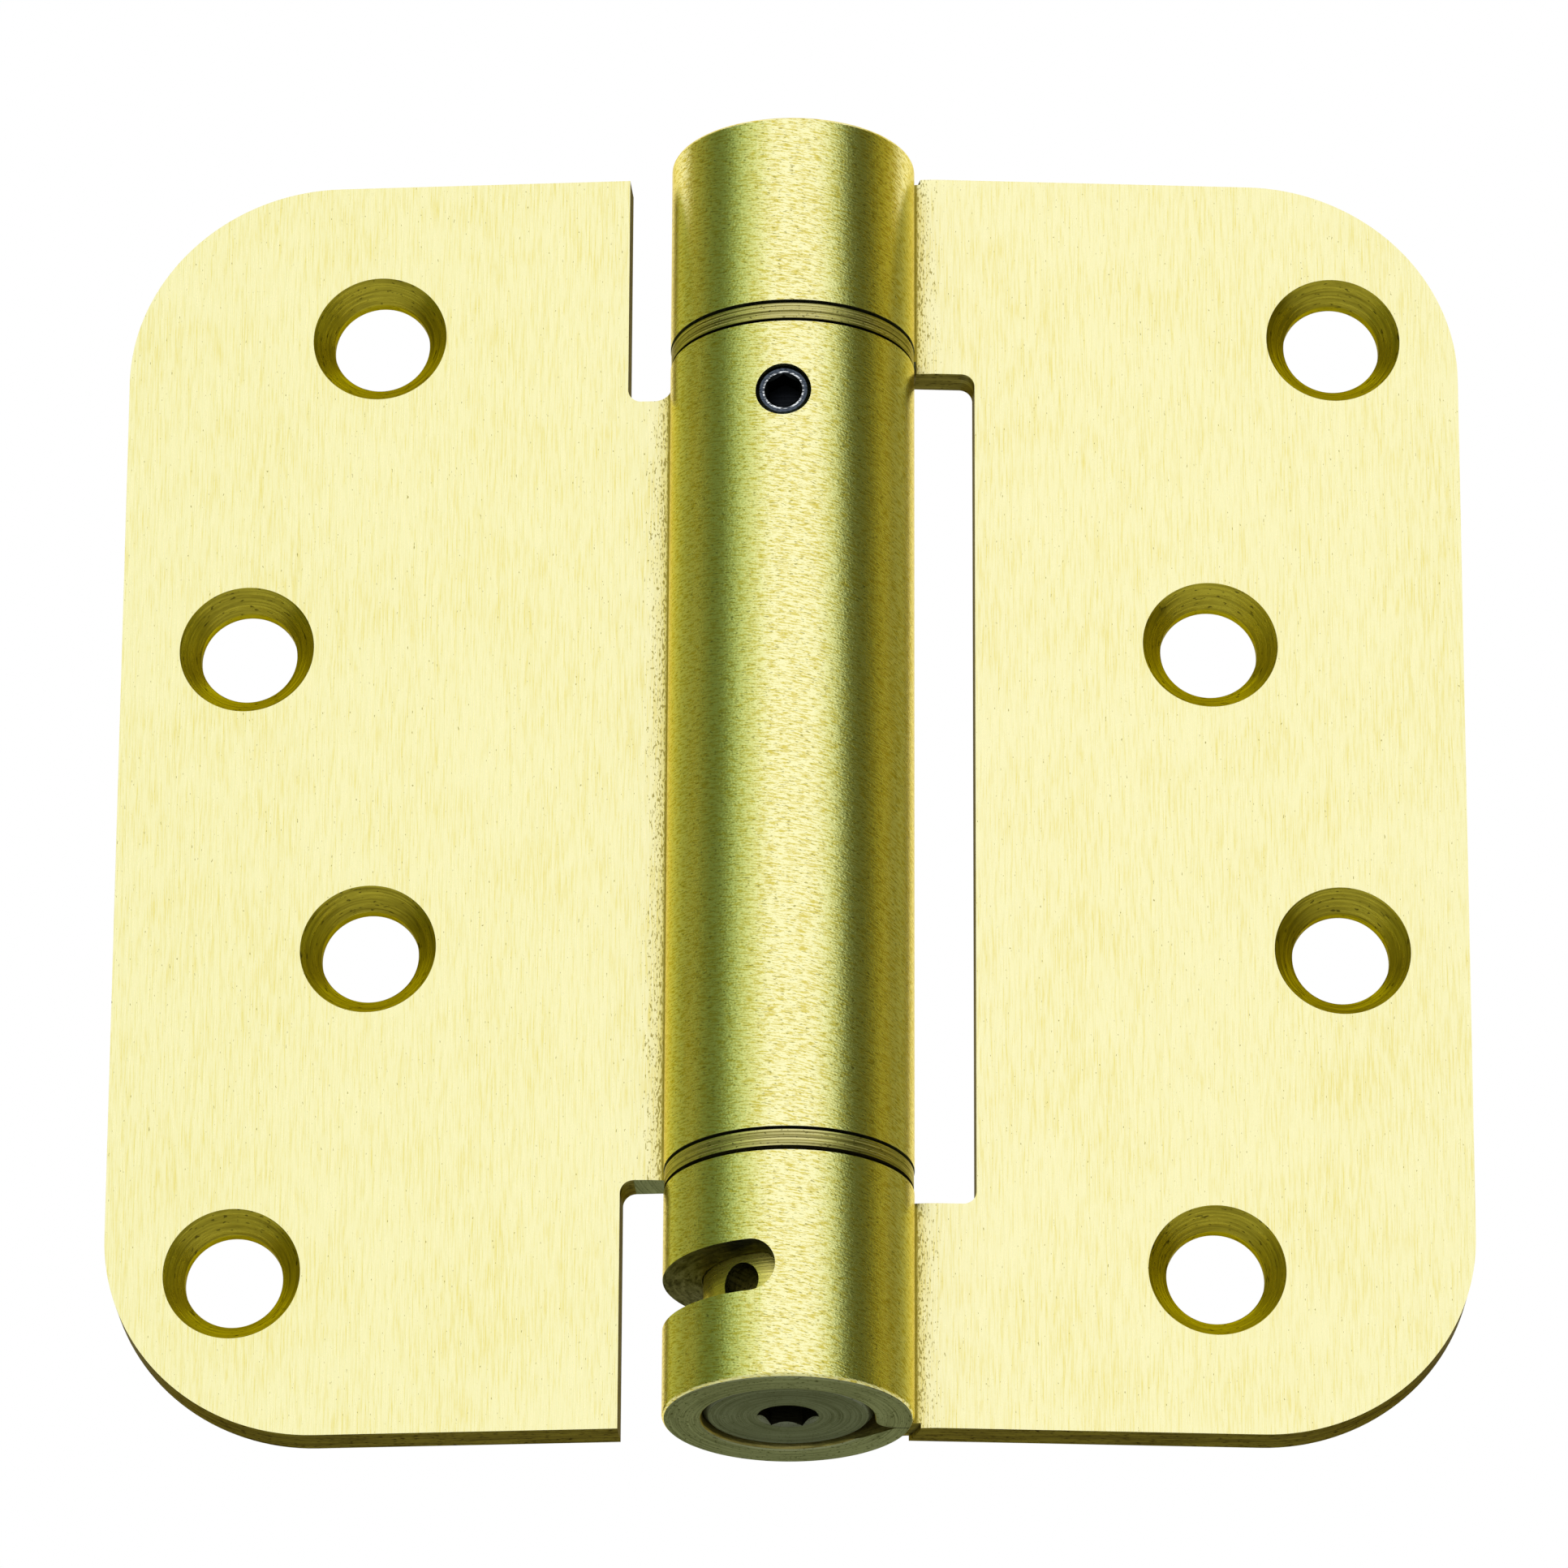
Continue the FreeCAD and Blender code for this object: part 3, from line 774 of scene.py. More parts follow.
def dress(
    target: bpy.types.Object,
    looks: Sequence[Finish],
    pick: Callable[[Vector, Vector], Finish] | None = None,
    place: Matrix | None = None,
) -> None:
    """Gives faces their finishes, smooths the piece and scales it to metres.

    Args:
        target: The object, in millimetres.
        looks: Its finishes.
        pick: Chooses one of them from a face's centre and normal, in millimetres.
        place: Moves the piece once the finishes are chosen.
    """
    mesh = target.data
    mesh.materials.clear()
    for look in looks:
        mesh.materials.append(look.material())
    if pick:
        numbers = {look.name: number for number, look in enumerate(looks)}
        for polygon in mesh.polygons:
            polygon.material_index = numbers[pick(polygon.center, polygon.normal).name]
    if place:
        move_mesh(target, place)
    mesh.transform(Matrix.Scale(MM, 4))
    mesh.shade_smooth()
    mesh.set_sharp_from_angle(angle=SHARP_ANGLE)
    flats = target.modifiers.new("flats", "WEIGHTED_NORMAL")
    flats.keep_sharp = True
    bake_modifiers(target)
    target.data.name = target.name


def keep(
    target: bpy.types.Object,
    body: Body,
    slot: Slot,
    *nodes: str,
    twist: tuple[Body, float, float] | None = None,
) -> None:
    """Puts a finished piece on its body in place of its frame nodes; a piece given a twist only
    has its place baked and is put on no body.

    Args:
        target: The piece.
        body: The body that it rides on.
        slot: Its slot in the record; not used.
        nodes: The frame nodes that it stands for.
        twist: For a piece that twists, a body and two heights; only whether it is given is read.
    """
    if twist:
        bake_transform(target)
    else:
        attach(target, body.value)
    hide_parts(*nodes)
    LOG.info("%s: %d faces on %s", target.name, len(target.data.polygons), body.value)


@dataclass(frozen=True)
class Stack:
    """The sizes that the pieces share, with their heights read from the frame."""

    barrel: float = BARREL_RADIUS
    sheet: float = 2.9
    front: float = 1.0
    half_height: float = 50.8
    reach: float = 50.8
    corner: float = 15.875
    flange: float = 1.6
    fit: float = 0.02
    screw_hole: float = 2.1
    screw_drop: float = 5.65
    lower_top: float = field(default_factory=lambda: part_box("lower_thrust_washer")[0].z / MM)
    lower_ring: float = field(default_factory=lambda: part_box("lower_bearing")[0].z / MM)
    upper_ring: float = field(default_factory=lambda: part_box("upper_bearing")[1].z / MM)
    upper_low: float = field(default_factory=lambda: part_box("upper_thrust_washer")[1].z / MM)

    @property
    def back(self) -> float:
        """The leaf's back plane."""
        return self.front + self.sheet

    @property
    def bore(self) -> float:
        """The barrel's inner radius."""
        return self.barrel - self.sheet

    @property
    def beyond(self) -> float:
        """Where cutters that start past the barrel begin on X."""
        return -self.barrel - self.sheet

    @property
    def barrel_low(self) -> float:
        """The centre barrel's lower end."""
        return self.lower_ring + self.flange

    @property
    def barrel_high(self) -> float:
        """The centre barrel's upper end."""
        return self.upper_ring - self.flange

    @property
    def slot_z(self) -> float:
        """Middle of the tension pin's slot."""
        return (-self.half_height + self.lower_top) / 2

    @property
    def screw_z(self) -> float:
        """Height of the set screw."""
        return self.barrel_high - self.screw_drop

    def left_place(self) -> Matrix:
        """Takes a piece drawn on the +X side to its place on the left leaf."""
        mirror = Matrix.Scale(-1, 4, (1, 0, 0))
        return Matrix.Rotation(math.radians(-LEAF_ANGLE), 4, "Z") @ mirror


@dataclass
class FoldedLeaf:
    """A leaf with its knuckle rolled from the same sheet, drawn on the +X side."""

    stack: Stack
    finishes: Finishes
    blend: float = 1.0
    swage_width: float = 2.2
    swage_depth: float = 0.25
    seam_gap: float = 0.1
    lip: float = 1.6
    notch_corner: float = 1.0
    outer_hole: float = 41.3
    inner_hole: float = 31.65
    end_hole: float = 38.0
    middle_hole: float = 12.35
    outer_on_top: bool = True
    hole: float = 3.65
    countersink: float = 5.1
    countersink_angle: float = 82.0
    hole_break: float = 0.4
    edge_break: float = 0.16
    rim_break: float = 0.4
    rim_margin: float = 0.6
    mouth_break: float = 0.3
    roll_band: float = 0.3
    crease_band: float = 0.35
    end_band: float = 0.5
    hole_band: float = 0.3
    blend_band: float = 1.3
    wall_skin: float = 0.45
    end_skin: float = 0.25
    end_facing: float = 0.8
    flat_facing: float = 0.99
    cut_facing: float = 0.85
    round_steps: int = 176
    corner_steps: int = 36
    hole_steps: int = 96
    bend_steps: int = 10
    lip_steps: int = 14
    rim_steps: int = 5
    mouth_steps: int = 4

    def hole_centres(self) -> list[Point]:
        """Places of the screw holes on the +X side, from the top down in a zigzag."""
        columns = [self.outer_hole, self.inner_hole]
        if not self.outer_on_top:
            columns.reverse()
        rows = (self.end_hole, self.middle_hole, -self.middle_hole, -self.end_hole)
        return [(columns[number % 2], z) for number, z in enumerate(rows)]

    def section(self) -> list[Point]:
        """Closed section of the leaf and its roll, square to the barrel."""
        s = self.stack
        seam_y = s.front + self.swage_depth
        end_y = seam_y - self.seam_gap
        outer = s.barrel + self.blend
        blend_y = s.back + self.blend
        blend = (math.sqrt(outer**2 - blend_y**2), blend_y)
        blend_turn = math.degrees(math.atan2(blend[1], blend[0]))
        slit_turn = math.degrees(math.asin(end_y / s.barrel))
        points = arc((0, 0), s.barrel, slit_turn, blend_turn - 360, self.round_steps)
        points += arc(blend, self.blend, blend_turn + 180, 270, self.bend_steps)[1:]
        points += [(s.reach, s.back), (s.reach, s.front)]
        crease_x = math.sqrt(s.barrel**2 - seam_y**2)
        swage_radius = (self.swage_width**2 + self.swage_depth**2) / (2 * self.swage_depth)
        swage_turn = math.degrees(math.asin(self.swage_width / swage_radius))
        swage = (crease_x + self.swage_width, s.front + swage_radius)
        points += arc(swage, swage_radius, 270, 270 - swage_turn, self.bend_steps)
        lip_y = end_y - self.lip
        lip = (math.sqrt((s.bore + self.lip) ** 2 - lip_y**2), lip_y)
        tip = Vector((lip[0], seam_y))
        tangent_turn = math.degrees(math.acos(s.bore / tip.length) + math.atan2(tip.y, tip.x))
        lip_turn = math.degrees(math.atan2(lip[1], lip[0]))
        points.append((tip.x, tip.y))
        points += arc((0, 0), s.bore, tangent_turn, lip_turn + 360, self.round_steps)
        points += arc(lip, self.lip, lip_turn + 180, 90, self.lip_steps)[1:]
        return points

    def outline_tool(self) -> bpy.types.Object:
        """Front view of the leaf with its round outer corners."""
        s = self.stack
        low, high = -s.half_height, s.half_height
        square = [(s.beyond, low), (s.reach, low), (s.reach, high), (s.beyond, high)]
        outline = rounded(square, {1: s.corner, 2: s.corner}, self.corner_steps)
        return prism("outline", outline, -THROUGH, THROUGH, True)

    def screw_holes(self) -> list[bpy.types.Object]:
        """Cutters for countersunk holes that open on the leaf's front."""
        slope = math.tan(math.radians(self.countersink_angle / 2))
        cone = (self.countersink - self.hole) / slope
        sheet = self.stack.sheet
        section = [
            (0, -MARGIN),
            (self.countersink + slope * MARGIN, -MARGIN),
            (self.hole, cone),
            (self.hole, sheet - self.hole_break),
            (self.hole + self.hole_break + MARGIN, sheet + MARGIN),
            (0, sheet + MARGIN),
        ]
        tools = []
        for x, z in self.hole_centres():
            tool = turned("screw_hole", section, self.hole_steps)
            tool.data.transform(Matrix.Rotation(math.radians(-90), 4, "X"))
            tool.data.transform(Matrix.Translation((x, self.stack.front, z)))
            tools.append(tool)
        return tools

    def window(
        self, low_x: float, high_x: float, low_z: float, high_z: float, corners: Sequence[int] = ()
    ) -> bpy.types.Object:
        """Cutter through the leaf in the front view.

        Args:
            low_x: Its low X side.
            high_x: Its high X side.
            low_z: Its lower side.
            high_z: Its upper side.
            corners: Which corners are rounded, from the low left one round.

        Returns:
            The cutter.
        """
        square = [(low_x, low_z), (high_x, low_z), (high_x, high_z), (low_x, high_z)]
        outline = rounded(square, dict.fromkeys(corners, self.notch_corner), self.bend_steps)
        return prism("window", outline, -THROUGH, THROUGH, True)

    def rim_tool(self, z: float, upward: bool, width: float) -> bpy.types.Object:
        """Cutter that rounds a knuckle's outer rim.

        Args:
            z: The knuckle's end.
            upward: Whether that end looks up.
            width: Radius of the rounding.

        Returns:
            The cutter.
        """
        sign = 1 if upward else -1
        barrel = self.stack.barrel
        curve = arc((barrel - width, z - sign * width), width, 0, sign * 90, self.rim_steps)
        side, end = barrel + self.rim_margin, z + sign * MARGIN
        beyond = [(barrel - width, end), (side, end), (side, curve[0][1])]
        return turned("rim", curve + beyond, self.round_steps)

    def mouth_tool(self, z: float, upward: bool) -> bpy.types.Object:
        """Cutter that rounds the bore's mouth at a knuckle's end."""
        sign = 1 if upward else -1
        bore = self.stack.bore
        width = self.mouth_break
        curve = arc((bore + width, z - sign * width), width, 180, 90 if upward else 270, self.mouth_steps)
        end = z + sign * MARGIN
        beyond = [(bore + width, end), (0, end), (0, curve[0][1])]
        return turned("mouth", curve + beyond, self.round_steps)

    def blank(self) -> bpy.types.Object:
        """The rolled sheet over the full height with its outline and holes."""
        s = self.stack
        leaf = prism("leaf", self.section(), -s.half_height - MARGIN, s.half_height + MARGIN)
        boolean(leaf, [self.outline_tool()], "INTERSECT")
        boolean(leaf, self.screw_holes(), "DIFFERENCE")
        return leaf

    def away_from_seam(self, middle: Vector, along: Vector) -> bool:
        """Tells an edge that is broken from one of the seam, the crease or the roll's ends."""
        s = self.stack
        near_roll = math.hypot(middle.x, middle.y) < s.barrel + self.roll_band
        if abs(along.z) > ALONG and near_roll:
            return False
        if near_roll and middle.x > 0 and abs(middle.y - s.front - self.swage_depth) < self.crease_band:
            return False
        at_end = abs(abs(middle.z) - s.half_height) < self.end_band
        return not (at_end and near_roll)

    def looks(self) -> list[Finish]:
        """Every finish that pick chooses from."""
        f = self.finishes
        return [f.leaf, f.barrel, f.cut_edge, f.hole_wall, f.bore, f.barrel_end, f.seam, f.slot_wall]

    def pick(self, centre: Vector, normal: Vector) -> Finish:
        """Chooses a face's finish.

        Args:
            centre: The face's middle, in millimetres.
            normal: The face's direction.

        Returns:
            One of the finishes that looks gives.
        """
        s, f = self.stack, self.finishes
        radius = math.hypot(centre.x, centre.y)
        seam_y = s.front + self.swage_depth
        # Painted shadow goes in the slit; painted shade on the barrel's ends, in the bore, on the hole walls
        # and on the cut edges.
        in_slit = centre.x > s.bore and seam_y - self.seam_gap - CLOSE < centre.y < seam_y + CLOSE
        if in_slit and radius < s.barrel - s.fit and abs(normal.y) > ALONG:
            return f.seam
        if radius < s.barrel + self.end_skin and abs(normal.z) > self.end_facing:
            return f.barrel_end
        if radius < s.barrel - self.wall_skin and outward(centre, normal) < 0:
            return f.bore
        if radius < s.barrel + s.fit or (radius < s.barrel + self.blend_band and centre.y > s.back):
            return f.barrel
        nearest = min(math.hypot(centre.x - x, centre.z - z) for x, z in self.hole_centres())
        if nearest < self.countersink + self.hole_band and abs(normal.y) < self.flat_facing:
            return f.hole_wall
        return f.cut_edge if abs(normal.y) < self.cut_facing else f.leaf


@dataclass
class RightLeaf(FoldedLeaf):
    """Leaf with the upper and the lower knuckle and the tension pin's slot."""

    notch_reach: float = 13.9
    notch_lead: float = 1.05
    ring_side: float = 0.2
    slot_height: float = 4.0
    slot_front: float = 248.8
    slot_back: float = 102.0
    slot_margin: float = 1.5
    slot_tip: float = 0.02
    slot_side: float = 3.0
    wall_facing: float = 0.5
    slot_steps: int = 140

    def slot_tool(self) -> bpy.types.Object:
        """Cutter for the slot, a band with round ends."""
        s = self.stack
        inside, outside = s.bore - self.slot_margin, s.barrel + self.slot_margin
        half = self.slot_height / 2
        end = math.degrees(half / s.barrel)
        sweep = self.slot_front - self.slot_back + 2 * end
        shape = bmesh.new()
        rows = []
        for step in range(self.slot_steps + 1):
            share = 0.5 - 0.5 * math.cos(math.pi * step / self.slot_steps)
            turn = self.slot_back - end + sweep * share
            beyond = max(self.slot_back - turn, turn - self.slot_front, 0.0) / end
            rise = max(half * math.sqrt(max(1 - beyond**2, 0.0)), self.slot_tip)
            corners = []
            for radius, z in ((inside, -rise), (outside, -rise), (outside, rise), (inside, rise)):
                x, y = polar(radius, turn)
                corners.append(shape.verts.new((x, y, s.slot_z + z)))
            rows.append(corners)
        for before, after in zip(rows, rows[1:]):
            for i in range(4):
                j = (i + 1) % 4
                shape.faces.new((before[i], before[j], after[j], after[i]))
        shape.faces.new(rows[0])
        shape.faces.new(rows[-1])
        return from_bmesh("slot", shape)

    def pick(self, centre: Vector, normal: Vector) -> Finish:
        """Chooses a face's finish, with painted shade on the slot's walls."""
        in_slot = abs(centre.z - self.stack.slot_z) < self.slot_height / 2 + NEAR / 2
        if in_slot and centre.x < self.slot_side and abs(outward(centre, normal)) < self.wall_facing:
            return self.finishes.slot_wall
        return super().pick(centre, normal)

    def build(self) -> None:
        """Makes the leaf and puts it in the frame."""
        s = self.stack
        leaf = self.blank()
        leaf.name = "right_leaf_brass"
        notch_top = s.upper_low - self.notch_lead
        tools = [
            self.window(s.beyond, self.notch_reach, s.lower_top, notch_top, (1, 2)),
            self.window(s.beyond, s.barrel + self.ring_side, notch_top - s.sheet, s.upper_low),
            self.slot_tool(),
            self.rim_tool(s.half_height, True, self.rim_break),
            self.rim_tool(-s.half_height, False, self.rim_break),
            self.mouth_tool(s.half_height, True),
            self.mouth_tool(-s.half_height, False),
        ]
        boolean(leaf, tools, "DIFFERENCE")
        break_edges(leaf, self.edge_break, self.away_from_seam)
        dress(leaf, self.looks(), self.pick)
        keep(leaf, Body.FRAME_LEAF, Slot.SATIN_BRASS, "right_leaf")


@dataclass
class LeftLeaf(FoldedLeaf):
    """Leaf with the centre barrel, drawn on the +X side, then mirrored and turned."""

    outer_on_top: bool = False
    notch_reach: float = 12.6
    notch_drop: float = 1.55
    shoulder: float = 1.4
    end_margin: float = 3.0
    tap_margin: Point = (1.5, 2.0)
    tap_steps: int = 72

    def __post_init__(self) -> None:
        """Turns the patterns of the flat leaf with it."""
        self.finishes = self.finishes.for_left()

    @property
    def over(self) -> float:
        """How far up and down the notches' cutters reach."""
        return self.stack.half_height + self.end_margin

    def shoulder_tool(self) -> bpy.types.Object:
        """Notch above the centre barrel, which curves up to the barrel's end."""
        s = self.stack
        low = s.barrel_high - self.notch_drop
        shoulder, turn = self.shoulder, self.notch_corner
        curve = arc((s.barrel + shoulder, low + shoulder), shoulder, 180, 270, self.bend_steps)
        corner = arc((self.notch_reach - turn, low + turn), turn, 270, 360, self.bend_steps)
        outline = [(s.barrel, self.over)] + curve + corner + [(self.notch_reach, self.over)]
        return prism("shoulder", outline, -THROUGH, THROUGH, True)

    def build(self) -> None:
        """Makes the leaf and puts it in the frame."""
        s = self.stack
        leaf = self.blank()
        leaf.name = "left_leaf_brass"
        low, high = s.bore - self.tap_margin[0], s.barrel + self.tap_margin[1]
        section = [(0, low), (s.screw_hole, low), (s.screw_hole, high), (0, high)]
        tapped = turned("tapped", section, self.tap_steps)
        point_outward(tapped, -90, s.screw_z)
        tools = [
            self.window(s.beyond, self.notch_reach, -self.over, s.barrel_low, (2,)),
            self.window(s.beyond, s.barrel + self.shoulder, s.barrel_high, self.over),
            self.shoulder_tool(),
            tapped,
        ]
        boolean(leaf, tools, "DIFFERENCE")
        break_edges(leaf, self.edge_break, self.away_from_seam)
        dress(leaf, self.looks(), self.pick, s.left_place())
        keep(leaf, Body.DOOR_LEAF, Slot.SATIN_BRASS, "left_leaf")


@dataclass
class Rings:
    """The two flanged bearings and their thrust washers."""

    stack: Stack
    finishes: Finishes
    radius: float = 9.2
    edge: float = 0.1
    relief: tuple[float, float] = (0.5, 0.25)
    grooves: int = 5
    groove: tuple[float, float] = (0.032, 0.035)
    upper_bore: float = 4.05
    lower_bore: float = 4.45
    upper_sleeve: float = 3.0
    lower_sleeve: float = 2.9
    washer_radius: float = 8.7
    washer_break: float = 0.04
    washer_play: float = 0.05
    steps: int = 176

    def bearing(self, name: str, bore: float, sleeve: float, z: float, sign: int) -> bpy.types.Object:
        """One flanged bearing with fine turned grooves round its flange.

        Args:
            name: The piece's name.
            bore: Its inner radius.
            sleeve: Length of the sleeve in the barrel.
            z: Height of the barrel's end that the flange lies on.
            sign: 1 for a flange above z and -1 for one below.

        Returns:
            The finished piece.
        """
        flange = self.stack.flange
        outer = self.stack.bore - self.stack.fit
        step_in, step_up = self.relief
        outline = [(bore, z + sign * flange), (self.radius - self.edge, z + sign * flange)]
        outline.append((self.radius, z + sign * (flange - self.edge)))
        half, depth = self.groove
        pitch = (flange - self.edge - step_up) / (self.grooves + 1)
        for number in range(1, self.grooves + 1):
            middle = flange - self.edge - pitch * number
            outline += [
                (self.radius, z + sign * (middle + half)),
                (self.radius - depth, z + sign * middle),
                (self.radius, z + sign * (middle - half)),
            ]
        outline += [
            (self.radius, z + sign * step_up),
            (self.radius - step_in, z + sign * step_up),
            (self.radius - step_in, z),
            (outer, z),
            (outer, z - sign * (sleeve - self.edge)),
            (outer - self.edge, z - sign * sleeve),
            (bore, z - sign * sleeve),
        ]
        made = turned(name, outline, self.steps)
        turned_look, shadow_look = self.finishes.ring, self.finishes.seam

        def pick(centre: Vector, normal: Vector) -> Finish:
            """The relief under the flange and its broken edge get painted shadow, the rest is turned."""
            reach = math.hypot(centre.x, centre.y)
            height = sign * (centre.z - z)
            at_edge = height > flange - self.edge and reach > self.radius - self.edge
            in_relief = 0 <= height < step_up + CLOSE and outer + NEAR < reach < self.radius - CLOSE
            return shadow_look if at_edge or in_relief else turned_look

        dress(made, [turned_look, shadow_look], pick)
        return made

    def washer(self, name: str, bore: float, low: float, high: float) -> bpy.types.Object:
        """One thrust washer between two heights."""
        outline = [(bore, low), (self.washer_radius, low), (self.washer_radius, high), (bore, high)]
        made = turned(name, rounded(outline, dict.fromkeys((1, 2), self.washer_break), 2))
        dress(made, [self.finishes.dark_steel])
        return made

    def build(self) -> None:
        """Makes both bearings and both washers."""
        s = self.stack
        upper = self.bearing("upper_ring", self.upper_bore, self.upper_sleeve, s.barrel_high, 1)
        keep(upper, Body.DOOR_LEAF, Slot.TURNED_BRONZE, "upper_bearing")
        lower = self.bearing("lower_ring", self.lower_bore, self.lower_sleeve, s.barrel_low, -1)
        keep(lower, Body.DOOR_LEAF, Slot.TURNED_BRONZE, "lower_bearing")
        for name, node, bore in (
            ("upper_washer", "upper_thrust_washer", self.upper_bore),
            ("lower_washer", "lower_thrust_washer", self.lower_bore),
        ):
            low, high = (corner.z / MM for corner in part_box(node))
            washer = self.washer(name, bore + self.washer_play, low, high)
            keep(washer, Body.FRAME_LEAF, Slot.DARK_STEEL, node)


@dataclass
class TensionAdjuster:
    """Turned adjuster with its key socket, its pin holes and its slotted nose."""

    stack: Stack
    finishes: Finishes
    gap: float = 0.1
    recess: float = 0.3
    rim: float = 0.4
    rim_round: float = 0.15
    end_play: float = 0.05
    journal: float = 4.4
    nose: float = 3.3
    nose_length: float = 4.6
    groove_radius: float = 3.8
    groove_low: float = -28.4
    groove_high: float = -27.5
    journal_top: float = -26.75
    small: float = 0.3
    key: float = 3.97
    key_depth: float = 7.0
    pin_hole: float = 1.5
    pin_depth: float = 3.2
    pin_count: int = 4
    pin_angle: float = 232.9
    tang_slot: float = 2.5
    tang_slot_reach: float = 7.0
    end_facing: float = 0.4
    wall_facing: float = 0.5
    tang_z: float = -25.5
    edge: float = 0.09
    steps: int = 144
    lead_steps: int = 72
    pin_steps: int = 56

    def pick(self, centre: Vector, normal: Vector) -> Finish:
        """Chooses the side's finish, or painted shade on the end, in the key socket and in the pin holes."""
        f = self.finishes
        if normal.z < -self.end_facing and centre.z < self.low + self.rim + NEAR:
            return f.adjuster_end
        in_socket = math.hypot(centre.x, centre.y) < self.key_corner + NEAR
        if in_socket and centre.z < self.low + self.key_depth + NEAR:
            return f.socket
        at_pins = abs(centre.z - self.stack.slot_z) < self.pin_hole + 2 * CLOSE
        return f.slot_wall if at_pins and outward(centre, normal) < self.wall_facing else f.adjuster

    @property
    def low(self) -> float:
        """The adjuster's lower face."""
        return -self.stack.half_height + self.recess

    @property
    def key_corner(self) -> float:
        """Distance of the key socket's corners from the axis."""
        return hexagon_reach(self.key)

    def build(self) -> None:
        """Makes the adjuster and puts it in the frame."""
        s = self.stack
        radius = s.bore - self.gap
        body_top = s.lower_top - self.end_play
        outline = [
            (0, self.low),
            (radius - self.rim, self.low),
            (radius, self.low + self.rim),
            (radius, body_top - self.small),
            (radius - self.small, body_top),
            (self.journal, body_top),
            (self.journal, self.groove_low),
            (self.groove_radius, self.groove_low),
            (self.groove_radius, self.groove_high),
            (self.journal, self.groove_high),
            (self.journal, self.journal_top),
            (self.nose, self.journal_top),
            (self.nose, self.journal_top + self.nose_length),
            (0, self.journal_top + self.nose_length),
        ]
        outline = rounded(outline, dict.fromkeys((1, 2), self.rim_round), 3)
        made = turned("adjuster_brass", outline, self.steps)
        under = self.low - MARGIN
        key = prism("key", hexagon(self.key), under, self.low + self.key_depth)
        corner = self.key_corner
        cone = [(0, under), (corner + MARGIN, under), (0, self.low + corner)]
        lead = turned("lead", cone, self.lead_steps)
        half, reach = self.tang_slot / 2, self.tang_slot_reach
        square = [(-reach, -half), (reach, -half), (reach, half), (-reach, half)]
        slot = prism("slot", square, self.tang_z - half, self.tang_z + half)
        tools = [key, lead, slot]
        floor, mouth = radius - self.pin_depth, radius + MARGIN
        section = [(0, floor), (self.pin_hole, floor), (self.pin_hole, mouth), (0, mouth)]
        for number in range(self.pin_count):
            tool = turned("pin_hole", section, self.pin_steps)
            point_outward(tool, self.pin_angle + 360 / self.pin_count * number, s.slot_z)
            tools.append(tool)
        boolean(made, tools, "DIFFERENCE")

        def at_mouth(middle: Vector, along: Vector) -> bool:
            """Picks the rims of the pin holes."""
            near = abs(middle.z - s.slot_z) < self.pin_hole + NEAR
            return near and abs(math.hypot(middle.x, middle.y) - radius) < NEAR / 2

        break_edges(made, self.edge, at_mouth)
        f = self.finishes
        dress(made, [f.adjuster, f.adjuster_end, f.socket, f.slot_wall], self.pick)
        keep(made, Body.ADJUSTER, Slot.ADJUSTER_BRASS, "tension_adjuster")


